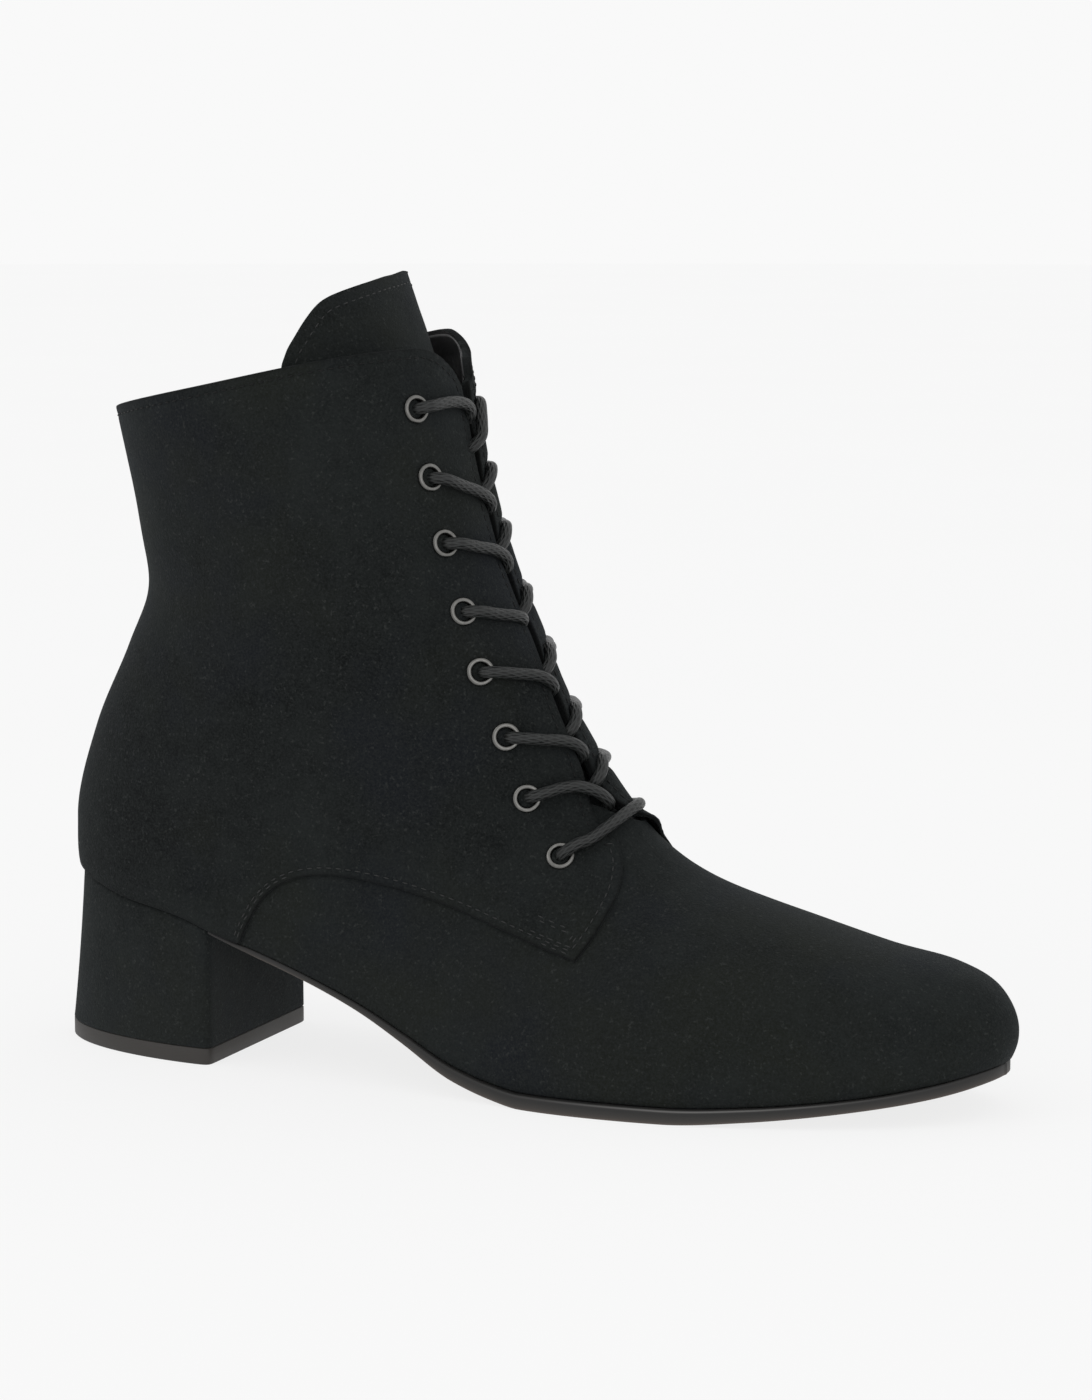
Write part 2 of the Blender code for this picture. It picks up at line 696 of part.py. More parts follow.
def heel_seat_outline(count):
    """Plan outline of the heel's top, under the upper's own edge."""
    halves = []
    for side in (LATERAL, MEDIAL):
        outline = feather_outline(side)
        outline = outline[outline[:, 0] < HEEL_BREAST_X[side]]
        end = np.array([HEEL_BREAST_X[side], outline[-1, 1]])
        back = np.array([outline[0, 0] - HEEL_OVERHANG, 0.0])
        halves.append(np.vstack([back, outline, end]))
    whole = np.vstack([halves[0][::-1], halves[1][1:]])
    return spread(whole, np.linspace(0, 1, count))


def build_heel(parts, suede, rubber):
    seat = heel_seat_outline(HEEL_COUNT)
    foot = horseshoe(HEEL_COUNT)
    rings = []
    for level in np.linspace(0, 1, HEEL_LEVELS):
        ring = []
        for (top_x, top_y), (foot_x, foot_y) in zip(seat, foot):
            top = np.array([top_x, top_y, float(sole_top(top_x))])
            bottom = np.array([foot_x, foot_y, LIFT_HEIGHT + GAP])
            ring.append(top + (bottom - top) * level)
        rings.append(ring)
    loft("heel_block", rings, parts, suede, strip_top=True)
    lift = [[(x, y, z) for x, y in foot] for z in (LIFT_HEIGHT, 0.0)]
    loft("top_lift", lift, parts, rubber)


def cord(name, points, collection, look=None):
    """A round cord through these points, as a mesh."""
    curve = bpy.data.curves.new(name + "_path", "CURVE")
    curve.dimensions = "3D"
    curve.bevel_depth = LACE_RADIUS
    curve.bevel_resolution = LACE_SIDES_RESOLUTION
    curve.use_fill_caps = True
    spline = curve.splines.new("POLY")
    spline.points.add(len(points) - 1)
    for point, place in zip(spline.points, points):
        point.co = (*place, 1.0)
    guide = bpy.data.objects.new(name + "_path", curve)
    collection.objects.link(guide)
    bpy.context.view_layer.update()
    mesh = bpy.data.meshes.new_from_object(guide.evaluated_get(bpy.context.evaluated_depsgraph_get()))
    bpy.data.objects.remove(guide, do_unlink=True)
    bm = bmesh.new()
    bm.from_mesh(mesh)
    bmesh.ops.remove_doubles(bm, verts=bm.verts, dist=0.000001)
    bpy.data.meshes.remove(mesh)
    return mesh_object(name, bm, collection, look)


def crossing_place(number):
    """Where the two laces from one pair of eyelets cross, down the front."""
    places = []
    for side in (LATERAL, MEDIAL):
        here = locate(*EYELETS[side][number])[0]
        below = locate(*EYELETS[-side][number + 1])[0]
        places.append(here + CROSSING_SHARE * min(below - here, LONGEST_FALL))
    return sum(places) / 2


def strand(number, side):
    """One lace from its eyelet over the facing and across the throat, towards the next eyelet opposite."""
    here, share = locate(*EYELETS[side][number])
    crossing = crossing_place(number)
    fall = crossing - here
    start = lifted(here, share, side, LACE_OVER_EYELET)
    ring_y = surface(here, share, side)[1]
    edge = section_at(here + 0.57 * fall)[10] + throat_edge(here + 0.57 * fall, side)
    sides = [throat_edge(crossing, LATERAL), throat_edge(crossing, MEDIAL)]
    middle = section_at(crossing)[10] + sum(sides) / 2
    past = max((sides[1] - sides[0]) / 2 - 0.0024, 0.0010)
    points = [start]
    for y, drop, lift in (
        (ring_y + 0.32 * (edge - ring_y), 0.16, LACE_OVER_QUARTER),
        (ring_y + 0.66 * (edge - ring_y), 0.36, LACE_OVER_QUARTER),
        (edge + side * 0.0006, 0.57, LACE_OVER_QUARTER),
        (middle, 1.00, LACE_AT_CROSSING),
        (middle - side * past, 1.26, LACE_AT_CROSSING),
    ):
        points.append(over_front(here + drop * fall, y, lift))
    return points


def build_lace(parts, cutters, look):
    for number in range(EYELET_COUNT - 1):
        name = "lace_crossing_%d" % (number + 1)
        outer = cord(name, strand(number, LATERAL), parts, look)
        inner = helper(cord(name + "_medial", strand(number, MEDIAL), cutters))
        boolean(outer, inner, "UNION")
    spots = [locate(*EYELETS[side][-1]) for side in (LATERAL, MEDIAL)]
    ends = [lifted(*spot, side, LACE_OVER_EYELET) for spot, side in zip(spots, (LATERAL, MEDIAL))]
    points = [ends[0]]
    for across in (0.14, 0.28, 0.40, 0.50, 0.60, 0.72, 0.86):
        y = ends[0][1] + across * (ends[1][1] - ends[0][1])
        place = spots[0][0] + across * (spots[1][0] - spots[0][0])
        points.append(over_front(place, y, LACE_OVER_QUARTER + GAP))
    points.append(ends[1])
    cord("lace_bar", points, parts, look)


def main():
    clear_scene()
    parts = new_collection("ankle boot", False)
    cutters = new_collection("cutters", True)
    suede = material("suede", SUEDE, 0.95)
    heel_suede = material("heel suede", SUEDE, 0.95)
    tongue_suede = material("tongue suede", SUEDE, 0.95)
    lining = material("lining", LINING, 0.6)
    rubber = material("sole rubber", RUBBER, 0.6)
    lift_rubber = material("lift rubber", RUBBER, 0.65)
    metal = material("eyelet metal", METAL, 0.3, 1.0)
    lace = material("waxed lace", CORD, 0.45)
    build_upper(parts, cutters, suede)
    build_tongue(parts, tongue_suede)
    build_insole(parts, cutters, lining)
    build_outsole(parts, rubber)
    build_heel(parts, heel_suede, lift_rubber)
    build_eyelets(parts, metal)
    build_lace(parts, cutters, lace)


main()
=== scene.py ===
import math
from collections import namedtuple

import bmesh
import bpy
import numpy as np
from mathutils import Matrix, Vector
from mathutils.kdtree import KDTree


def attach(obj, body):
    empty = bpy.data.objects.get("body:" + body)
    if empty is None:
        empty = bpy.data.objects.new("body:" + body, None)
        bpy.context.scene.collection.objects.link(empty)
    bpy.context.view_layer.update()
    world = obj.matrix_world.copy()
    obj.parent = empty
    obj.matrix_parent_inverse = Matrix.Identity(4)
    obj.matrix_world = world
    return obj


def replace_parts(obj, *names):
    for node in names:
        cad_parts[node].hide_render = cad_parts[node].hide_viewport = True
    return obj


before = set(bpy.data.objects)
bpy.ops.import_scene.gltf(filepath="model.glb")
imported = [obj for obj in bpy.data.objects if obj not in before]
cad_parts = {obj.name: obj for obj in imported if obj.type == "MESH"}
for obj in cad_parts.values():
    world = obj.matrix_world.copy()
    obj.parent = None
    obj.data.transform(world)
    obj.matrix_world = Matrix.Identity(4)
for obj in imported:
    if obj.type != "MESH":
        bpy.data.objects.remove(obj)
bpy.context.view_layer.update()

LATERAL = -1
MEDIAL = 1
SIDES = ((LATERAL, "lateral"), (MEDIAL, "medial"))

# Columns of the tables that aren't sizes: a place counts the sections, and a turn of 1 is half way round
PLAIN = "name side slope place share across span widest round_back round_front".split()
MILLIMETRE = 0.001


def table(columns, *rows):
    """A short table with named columns. Its sizes are in millimetres, and are kept in metres."""
    units = [1 if name in PLAIN else MILLIMETRE for name in columns.split()]
    row_of = namedtuple("Row", columns)
    return [row_of(*(value * unit for value, unit in zip(row, units))) for row in rows]


# Levels of the upper's layers, measured outwards from the vamp's face
QUARTER_FACE = 0.0010
QUARTER_BACK = -0.0012
LAPPED_BACK = 0.00006
VAMP_BACK = -0.0011
LINING_FACE = -0.00125
LINING_BACK = -0.0018
GAP = 0.0003
SEAT_GAP = 0.0001
EDGE_ROUND = 0.0005
RIM_SHADE = 0.00045
FEATHER_ROUND = 0.0004

# Fan sections of the boot, from the shaft's top round the heel and the sole to the toe tip
SECTIONS = table(
    "name back_x back_z front_x front_z lateral medial widest round_back round_front back_y front_y",
    ("above collar", -11.5, 186, 70, 214, 36, 36, 0.5, 2.1, 2.2, 0, 1),
    ("collar", -6.6, 164, 81, 182, 36.5, 36.5, 0.5, 2.1, 2.3, 0, 1),
    ("shaft", -0.8, 138, 87.6, 151, 35.5, 35.5, 0.5, 2.1, 2.3, 0, 1),
    ("ankle", 1.2, 120, 95.2, 127, 34, 34, 0.5, 2.1, 2.2, 0, 1),
    ("heel curve", -5.4, 103, 104.6, 108, 32.5, 32.5, 0.47, 2.1, 2.1, 0, 1),
    ("heel upper", -14.8, 82, 113, 93, 32, 32, 0.4, 2.2, 2, 0, 1),
    ("heel back", -20.4, 58, 121, 80, 31.3, 31.5, 0.34, 2.3, 2, 0, 2),
    ("heel seat", -13.2, 37, 128, 70, 30.8, 31, 0.3, 2.5, 2, 0, 3),
    ("waist back", 28, 20, 133, 64.8, 31.2, 30.8, 0.28, 3, 2, 0, 3),
    ("waist", 62, 12, 138, 60, 32.5, 30.8, 0.29, 3.2, 2, -1, 3),
    ("ball back", 95, 0, 145, 54.6, 36.2, 33, 0.32, 3.4, 2, -2, 4),
    ("ball", 126, -5, 155, 50, 39.8, 36.5, 0.34, 3.6, 2, -1.5, 4),
    ("ball front", 160, -5.5, 173, 44.4, 38.5, 37.8, 0.36, 3.8, 2.1, 0.5, 4),
    ("toe back", 189, -3.5, 194, 38.8, 32, 31, 0.4, 3.8, 2.2, 3, 5),
    ("toe box", 210.5, 1, 212, 35.7, 22.8, 21.5, 0.42, 3.4, 2.2, 5, 6),
    ("toe front", 223, 7.5, 223.8, 30.3, 12.8, 12.2, 0.45, 2.8, 2.2, 6, 6),
    ("toe tip", 229.3, 19.2, 229.3, 19.7, 0.3, 0.3, 0.5, 2.2, 2.2, 6, 6),
)
TIP = len(SECTIONS) - 1

# The lace draws the shaft's inner side in along its eyelets: by y from the ridge, and by place
DRAWN_IN = table(
    "y depth",
    (0, 0), (4, -0.3), (8, -0.8), (11, -0.2), (14, 0.9), (17, 2), (21, 2.7), (26, 2), (32, 0.5), (36, 0),
)
DRAWN_PLACES = table("place share", (1.1, 0), (1.45, 1), (3.2, 1), (4.6, 0))

# The sole's top and bottom in side view
SOLE_LINE = table(
    "x top bottom",
    (-30, 49.6, 48), (-16.2, 46, 44.4), (-6.5, 43.4, 41.8), (2.8, 40.8, 39.2), (14.3, 38.8, 37.2),
    (22, 37.1, 35.5), (30, 34.2, 32.6), (44, 30.2, 28.7), (58, 25.6, 24.1), (72, 20.4, 18.7),
    (86, 14.2, 11.9), (100, 7.8, 4.6), (111, 4.8, 1.4), (120, 3.6, 0), (156, 3.6, 0), (176, 4.6, 1.4),
    (200, 7, 4.2), (216, 9.8, 6.8), (232, 14, 10.8),
)

# How far the sole's edge stands out past the upper, its roundings, and how it thins to the heel
SOLE_EDGE = table(
    "x reach",
    (28, 0.2), (60, 0.6), (100, 1.4), (130, 1.8), (205, 1.6), (220, 0.8), (228, -0.5),
)
SOLE_STATIONS = 150
SOLE_LAST_STATION = 0.9995
SOLE_CLOSENESS = 1.25
SOLE_TIP_REACH = 0.0004
SOLE_TOP_ROUND = 0.0007
SOLE_FOOT_ROUND = 0.0004
SOLE_THIN = 0.40
SOLE_THIN_LENGTH = 0.014
# The sole's polished rim gets a painted highlight beside the ball: where it lies along x and how far down the
# edge
SHINE_X = 0.166
SHINE_LENGTH = 0.032
SHINE_DROP = 0.09
SHINE_HEIGHT = 0.05

# Heel block and top lift
HEEL_BREAST_X = {LATERAL: 0.0288, MEDIAL: 0.0250}
HEEL_POINTS = 220
HEEL_CORNER_PASSES = 8
LIFT_HEIGHT = 0.0042
LIFT_BACK_X = -0.0260
HEEL_OVERHANG = 0.0014
LIFT_HALF_WIDTH = 0.0293
LIFT_ROUND = 1.95

# Side-view lines of the upper: the collar of each side, and the quarters' edge over the vamp
COLLAR = {
    LATERAL: table(
        "x z",
        (-40, 157), (-7, 163.7), (30, 170.8), (56, 176.3), (69, 178.8), (77.9, 180.1), (86, 181),
    ),
    MEDIAL: table(
        "x z",
        (-40, 157), (-7, 163.7), (12, 168.5), (30, 173.7), (45, 178.3), (58, 181.9), (66, 183.2),
        (70.2, 182.7), (76.2, 179.8), (81.1, 175.6), (84.1, 170.4), (85.8, 164),
    ),
}
# The outer collar's wide round corner, from its top down to the facing: y from the ridge, and place
LATERAL_CORNER = table(
    "place y",
    (1.04, -18.5), (1.043, -15.5), (1.052, -12.5), (1.08, -9.5), (1.125, -6.6), (1.18, -4), (1.245, -1.4),
    (1.31, 0.2), (1.38, 1.2), (1.53, 1.9),
)
QUARTER_EDGE = table(
    "x z",
    (37, 24), (38.5, 31.5), (41, 37.5), (45, 44), (50.5, 48.3), (58.5, 50.6), (69, 50.5), (83, 48.2),
    (96.6, 44.8), (110.2, 40.7), (121.4, 37.3), (130.3, 35),
)
QUARTER_FRONT = {
    LATERAL: table("x z", (130.3, 35), (133.5, 41.2), (135.5, 49), (134.5, 55.5), (131.3, 61)),
    MEDIAL: table("x z", (130.3, 35), (133.7, 41.2), (135.9, 48), (136.2, 54.5), (135.2, 60)),
}
COLLAR_CORNER_X = {LATERAL: 0.0812, MEDIAL: 0.0750}
# Places that bound the collar, the back seam's foot, the sock and the sole's edge
BELOW_COLLAR = 3.0
SEAT_PLACES = (6.0, 7.2)
SOCK_PLACES = (6.25, 8.0, 15.0)
FEATHER_PLACES = (6.3, 8.0, 14.0)
TIP_MARGIN = 0.01

# Throat: how far the two facing edges lie from the front ridge at each place down the front
THROAT = table(
    "place lateral medial",
    (0, 2, 6.8), (1, 2, 6), (1.5, 1.9, 4.6), (2, 1.6, 3.8), (3, 0.6, 2.8), (4, -1.4, 0.8), (5, -4.2, -2),
    (6, -6.2, -4), (6.5, -7.6, -4.6), (7, -9.2, -3.6), (7.5, -10.2, -1.4), (8, -10.8, 0.8),
    (8.4, -11.4, 2.6), (8.8, -12.8, 5.4),
)
FACING_END = {LATERAL: 8.2, MEDIAL: 8.42}

# The vamp's back edge: hidden under the quarters, and forward of them in the throat
VAMP_EDGE = table(
    "across place",
    (-0.12, 6.9), (-0.085, 6.95), (-0.05, 7.46), (0, 7.92), (0.02, 7.98), (0.05, 7.72), (0.1, 7.1),
    (0.14, 6.9),
)
VAMP_START = 6.9
LAP_BLEND = 0.25

# The inner quarter stands up a little at the throat's lower end
FLARE_PLACE = 8.30
FLARE_LENGTH = 0.50
FLARE_ACROSS = 0.02
FLARE_WIDTH = 0.05
FLARE = 0.0019

# Tongue: half its span as a share of the half section, and its depth under the upper
TONGUE = table(
    "place span ridge_depth edge_depth",
    (0.405, 0.15, 10, 8.5), (0.411, 0.215, 10, 7.5), (0.428, 0.262, 10, 6.4), (0.46, 0.29, 10, 5.6),
    (0.56, 0.328, 9.8, 4.8), (0.69, 0.361, 9.6, 4.3), (0.82, 0.387, 9.3, 3.9), (1, 0.405, 9, 3.6),
    (2, 0.375, 6.2, 4), (3, 0.34, 5.4, 4.4), (4, 0.305, 5, 4.4), (5, 0.27, 4.7, 4.6), (6, 0.24, 4.2, 4.2),
    (7, 0.215, 3.6, 3.6), (8, 0.19, 3, 3), (9, 0.17, 2.6, 2.6), (9.6, 0.15, 2.4, 2.4),
)
TONGUE_THICKNESS = 0.0020
# The tongue's top edge climbs to the inner side: places for each unit of turn, up to an end of the slope
TONGUE_SLANT = 0.34
TONGUE_SLANT_END = 0.10
TONGUE_SLANT_FADE = 1.30
TONGUE_TOP = 0.405
INSOLE_THICKNESS = 0.0026

# Eyelets of each side, top to bottom, and the section of their rolled ring
EYELETS = {
    LATERAL: table(
        "x z",
        (80.7, 165.5), (84.2, 148.9), (88.3, 132.9), (93.5, 116.4), (98.3, 102), (104.6, 86.2),
        (110, 71.3), (120, 57.6),
    ),
    MEDIAL: table(
        "x z",
        (75.6, 164.6), (78.9, 148.5), (83, 134.3), (88.4, 118.9), (94.7, 104.9), (100.6, 90),
        (106.7, 76.5), (115.2, 62.4),
    ),
}
EYELET_COUNT = len(EYELETS[LATERAL])
EYELET_RING = table(
    "radius height",
    (2.05, -3), (2.4, -3), (2.5, -0.2), (2.62, 0.02), (3.35, 0.04), (3.5, 0.18), (3.52, 0.36),
    (3.43, 0.58), (3.22, 0.78), (2.94, 0.88), (2.63, 0.84), (2.37, 0.66), (2.2, 0.36), (2.11, -0.2),
)
EYELET_STEPS = 40
# Height of a ring's crown, where the painted shade on its walls has faded out
RING_CROWN = 0.00088

# Lace
LACE_RADIUS = 0.0015
LACE_STEP = 0.00045
LACE_SIDES = 16
LACE_EASINGS = 4
# Each run over the outer facing, from past its ring to where it dives: place, y from the ridge, level
NEAR_RUNS = [
    table("place y level", (1.48, -8.2, 2.4), (1.5, -2.3, 2.4), (1.55, 1.4, 2), (1.62, 2.8, 0.4)),
    table("place y level", (2.18, -9.1, 2.4), (2.26, -3.3, 2.4), (2.35, 1.7, 2), (2.43, 3.4, 0.5)),
    table("place y level", (2.81, -9.2, 2.4), (2.87, -3.8, 2.4), (2.97, 0.9, 2), (3.07, 2.5, 0.5)),
    table("place y level", (3.61, -10.5, 2.4), (3.66, -6.2, 2.3), (3.7, -2.6, 1.6), (3.75, -0.2, -1)),
    table("place y level", (4.45, -11.1, 2.4), (4.53, -6.8, 2.4), (4.65, -3.8, 2), (4.75, -2, 0.4)),
    table("place y level", (5.54, -11.4, 2.4), (5.64, -7.6, 2.4), (5.79, -5.2, 2), (5.92, -4.2, 0.5)),
    table("place y level", (6.47, -12.5, 2.5), (6.51, -9.7, 2.6), (6.74, -7, 2.2), (7.04, -5.4, 0.6)),
]
LaceStep = namedtuple("LaceStep", "place y level")
# The runs over the inner facing: how far past its edge, how far down from the ring, level
FAR_RUN = table(
    "past drop level",
    (12, 0, 1.4), (8, 0, 1), (4.2, 0.4, 1.3), (2, 2.4, 1.7), (0, 4.6, 0.9), (-1.6, 6, -1.2),
)
# The top one lies over the outer strand's end before it dives
FAR_RUN_TOP = table(
    "past drop level",
    (12, 0, 1.4), (8, 0, 1.1), (4.4, 0.6, 1.3), (2.6, 3, 1.8), (0.8, 6, 2.6), (-1.2, 9, 3),
    (-2.8, 11.2, 1.2), (-3.6, 12.4, -1.2),
)
# The bar over the throat's foot, from the outer eyelet to the inner one
BAR_RUN = table(
    "place y level",
    (8.1, -14, 2.4), (7.9, -9.8, 2.4), (7.6, -4, 2.2), (7.45, 1.5, 2), (7.4, 8, 1.4),
)
# A strand's last step into the throat, and its points on the way to the next eyelet inside
DIVE = 0.0008
DIVE_SHARE = 0.8
INSIDE_SHARES = (0.35, 0.75)
# The lace through an eyelet: how far it leans to the throat, and its level
LACE_THROUGH = table("lean level", (0, -3.4), (0.3, -1.2), (0.6, 1.2), (1.6, 2.7), (3.3, 3.1))
LACE_INSIDE = LACE_THROUGH[0].level
# How far the lace presses a facing in, from the ring to the edge
LACE_PRESS = {
    LATERAL: table("share depth", (0, 0), (0.5, 0.25), (1, 0.4)),
    MEDIAL: table(
        "share depth",
        (0, 0), (0.15, 0.3), (0.4, 1), (0.6, 1.5), (0.8, 1.2), (0.9, 0.8), (1, 0.7),
    ),
}
PRESS_HALF_WIDTH = 0.0022

# Soft troughs of the suede in side view, each with a lower ridge beside it
RIDGE_AWAY = 1.9
RIDGE_SHARE = 0.55
CREASES = table(
    "side x z slope half_length half_width depth",
    (LATERAL, 84, 109, -38, 20, 5, 0.5),
    (LATERAL, 70, 100, -30, 18, 6, 0.4),
    (LATERAL, 13, 118, 14, 20, 7, 0.5),
    (MEDIAL, 85, 108, -36, 20, 5, 0.5),
    (MEDIAL, 68, 99, -28, 18, 6, 0.4),
    (MEDIAL, 13, 119, 12, 20, 7, 0.5),
    (LATERAL, 160, 26, 62, 12, 4, 0.3),
    (MEDIAL, 158, 27, 60, 12, 4, 0.3),
)

# Stitches, and the rows' distances from the edges they follow
STITCH_PITCH = 0.0025
STITCH_LENGTH = 0.0017
STITCH_WIDTH = 0.00036
STITCH_RISE = 0.00008
STITCH_GROOVE = 0.00012
GROOVE_HALF_WIDTH = 0.0006
FACING_ROW = 0.0024
LOWER_ROW = 0.0019
DOUBLED_ROW = 0.0010
DOUBLED_BACK = 0.022
DOUBLED_FRONT = 0.009
FRONT_ROWS = (0.0010, 0.0028)
BLOCK_ROWS = (0.0059, 0.0069)
BLOCK_LENGTH = 0.0085
BLOCK_BARS = (0.0034, 0.0044)
BLOCK_END = 0.0010
COLLAR_START = 0.0008
LOWER_START = 0.0012
FRONT_END = 0.0022
BAR_START = 0.0030
SEWN_STEP = 0.0004
TONGUE_ROW = 0.0032
TONGUE_SEWN = 1.6
TONGUE_RISE = -0.00004
# The collar and the facing are sewn with the second of the two threads
DULL = 1

# Floor, lamps and the camera's view of the boot
FLOOR_RADIUS = 9.0
Lamp = namedtuple("Lamp", "name place size energy")
LAMPS = (Lamp("key", (-0.9, -1.1, 1.3), 1.0, 3.0), Lamp("fill", (1.3, -1.2, 0.5), 1.2, 2.8))
TARGET = Vector((0.103, 0.012, 0.092))
AZIMUTH = 25.0
ELEVATION = 7.5
DISTANCE = 1.0
LENS = 102.86
SENSOR = 36.0

# Steps and limits of the reckoning
PLACE_STEP = 0.02
TURN_STEP = 0.004
RIDGE_STEP = 0.05
FINE_STEP = 1e-4
DENSE_STEP = 0.00012
HALVINGS = 45
FRONT_REACH = 0.999
MERGE = 0.000001


# The boot's surface from its sections


def look_up(rows, key, name, at):
    """A table's column at values of its key column: a monotone cubic, so that flat runs stay flat."""
    knots, values = (np.array([getattr(row, field) for row in rows], float) for field in (key, name))
    step = np.diff(knots)
    slope = np.diff(values) / step
    tangent = np.zeros_like(values)
    same = slope[:-1] * slope[1:] > 0
    tangent[1:-1][same] = 2 * slope[:-1][same] * slope[1:][same] / (slope[:-1][same] + slope[1:][same])
    tangent[0] = slope[0]
    tangent[-1] = slope[-1]
    at = np.clip(at, knots[0], knots[-1])
    i = np.clip(np.searchsorted(knots, at) - 1, 0, len(step) - 1)
    t = (at - knots[i]) / step[i]
    start = (2 * t**3 - 3 * t**2 + 1) * values[i] + (t**3 - 2 * t**2 + t) * step[i] * tangent[i]
    end = (3 * t**2 - 2 * t**3) * values[i + 1] + (t**3 - t**2) * step[i] * tangent[i + 1]
    return start + end


def sole_top(x):
    return look_up(SOLE_LINE, "x", "top", x)


def sole_bottom(x):
    return look_up(SOLE_LINE, "x", "bottom", x)


def throat_edge(place, side):
    """How far a facing's edge is from the ridge, in y."""
    return look_up(THROAT, "place", dict(SIDES)[side], place)


def vamp_start(across):
    """The place of the vamp's back edge, by the turn from the ridge."""
    return look_up(VAMP_EDGE, "across", "place", across)


def catmull(rows, place):
    """Catmull-Rom through rows that have one extra row at each end."""
    i = np.clip(np.floor(place).astype(int), 0, len(rows) - 4)
    t = (place - i)[..., None]
    p0, p1, p2, p3 = (rows[i + k] for k in range(4))
    square = (2 * p0 - 5 * p1 + 4 * p2 - p3) * t**2
    cube = (3 * p1 - p0 - 3 * p2 + p3) * t**3
    return 0.5 * (2 * p1 + (p2 - p0) * t + square + cube)


def padded_sections():
    """The sections with one more row at each end, the last turned over at the toe tip."""
    rows = np.array([section[1:] for section in SECTIONS], float)
    before = 2 * rows[0] - rows[1]
    after = rows[-2].copy()
    after[4:6] = -after[4:6]
    after[[1, 3]] = after[[3, 1]]
    return np.vstack([before, rows, after])


PADDED = padded_sections()


def section_values(place):
    """The sections' columns at these places, one array for each."""
    return np.moveaxis(catmull(PADDED, np.clip(np.asarray(place, float), 0, TIP)), -1, 0)


def paired(*values):
    """Numbers or arrays brought to one shape."""
    return np.broadcast_arrays(*(np.asarray(value, float) for value in values))


def drawn_in(place, y):
    """How far the lace draws the shaft's inner side in."""
    return look_up(DRAWN_IN, "y", "depth", y) * look_up(DRAWN_PLACES, "place", "share", place)


def surface(place, turn, laced=True):
    """Points of the vamp's face. Turn 0 is the heel and the underside, 1 the shin and the instep.

    Negative turns are the lateral side, and past 1 the other side goes on. The lace draws the inner side in
    where laced is true.
    """
    place, turn = paired(place, turn)
    values = section_values(place)
    back_x, back_z, front_x, front_z, lateral, medial, widest, low, high, back_y, front_y = values
    c, s = np.cos(np.pi * turn), np.sin(np.pi * turn)
    power = 2 / np.where(c > 0, low, high)
    reach = np.abs(c) ** power
    along = np.where(c > 0, widest * (1 - reach), widest + (1 - widest) * reach)
    out = np.copysign(np.abs(s) ** power, s) * np.where(s < 0, lateral, medial)
    drawn = np.where(laced & (s > 0) & (c < 0), drawn_in(place, out), 0.0)
    along = along - drawn / np.hypot(front_x - back_x, front_z - back_z)
    x = back_x + (front_x - back_x) * along
    z = back_z + (front_z - back_z) * along
    return np.stack([x, back_y + (front_y - back_y) * along + out, z], axis=-1)


def between(first, second, share):
    return first + (second - first) * share


def unit(vectors):
    return vectors / np.maximum(np.linalg.norm(vectors, axis=-1, keepdims=True), 1e-12)


def outward(place, turn, laced=True):
    """The way out of the boot at these points."""
    place, turn = paired(place, turn)
    before, after = np.maximum(place - PLACE_STEP, 0), np.minimum(place + PLACE_STEP, TIP)
    down = surface(after, turn, laced) - surface(before, turn, laced)
    round_it = surface(place, turn + TURN_STEP, laced) - surface(place, turn - TURN_STEP, laced)
    normal = unit(np.cross(round_it, down))
    normal[place > TIP - PLACE_STEP] = (1.0, 0.0, 0.0)
    return normal


def lifted(place, turn, level, laced=True):
    """Points this far outside the vamp's face."""
    level = np.asarray(level, float)[..., None]
    return surface(place, turn, laced) + level * outward(place, turn, laced)


def bisect(low, high, before):
    """Where before() turns from true to false between low and high, for each of many."""
    for _ in range(HALVINGS):
        middle = (low + high) / 2
        early = before(middle)
        low = np.where(early, middle, low)
        high = np.where(early, high, middle)
    return (low + high) / 2


def smooth_line(points, steps):
    """Catmull-Rom through a list of points, with so many steps between each two."""
    knots = np.array(points, float)
    knots = np.vstack([2 * knots[0] - knots[1], knots, 2 * knots[-1] - knots[-2]])
    return catmull(knots, np.linspace(0, len(points) - 1, steps * (len(points) - 1) + 1))


def locate(line, side):
    """Place and turn at which the upper's side is seen at each x and z of a line."""
    x, z = np.asarray(line, float).T

    def below(place):
        back_x, back_z, front_x, front_z = section_values(place)[:4]
        return (front_x - back_x) * (z - back_z) - (front_z - back_z) * (x - back_x) <= 0

    place = bisect(np.zeros_like(x), np.full_like(x, TIP), below)
    back_x, back_z, front_x, front_z, _, _, widest, low, high = section_values(place)[:9]
    run = (front_x - back_x) ** 2 + (front_z - back_z) ** 2
    along = ((x - back_x) * (front_x - back_x) + (z - back_z) * (front_z - back_z)) / run
    behind = np.arccos(np.clip(1 - along / widest, 0, 1) ** (low / 2))
    ahead = np.pi - np.arccos(np.clip((along - widest) / (1 - widest), 0, 1) ** (high / 2))
    return np.stack([place, side * np.where(along < widest, behind, ahead) / np.pi], axis=-1)


def front_turn(place, y):
    """The turn at which the front of a section is this far from its ridge; y below 0 is lateral."""
    place, y = paired(place, y)
    lateral, medial, _, _, high = section_values(place)[4:9]
    out = np.clip(np.abs(y) / np.where(y < 0, lateral, medial), 0, FRONT_REACH)
    return np.where(y < 0, -1, 1) * (1 - np.arcsin(out ** (high / 2)) / np.pi)


def facing_turn(place, side):
    """The turn of a facing's edge, counted on from its own side where it lies past the ridge."""
    return own_chart(front_turn(place, throat_edge(place, side)), side)


def own_chart(turn, side):
    """A turn past the ridge, counted on from its own side."""
    return np.where(turn * side < 0, turn + 2 * side, turn)


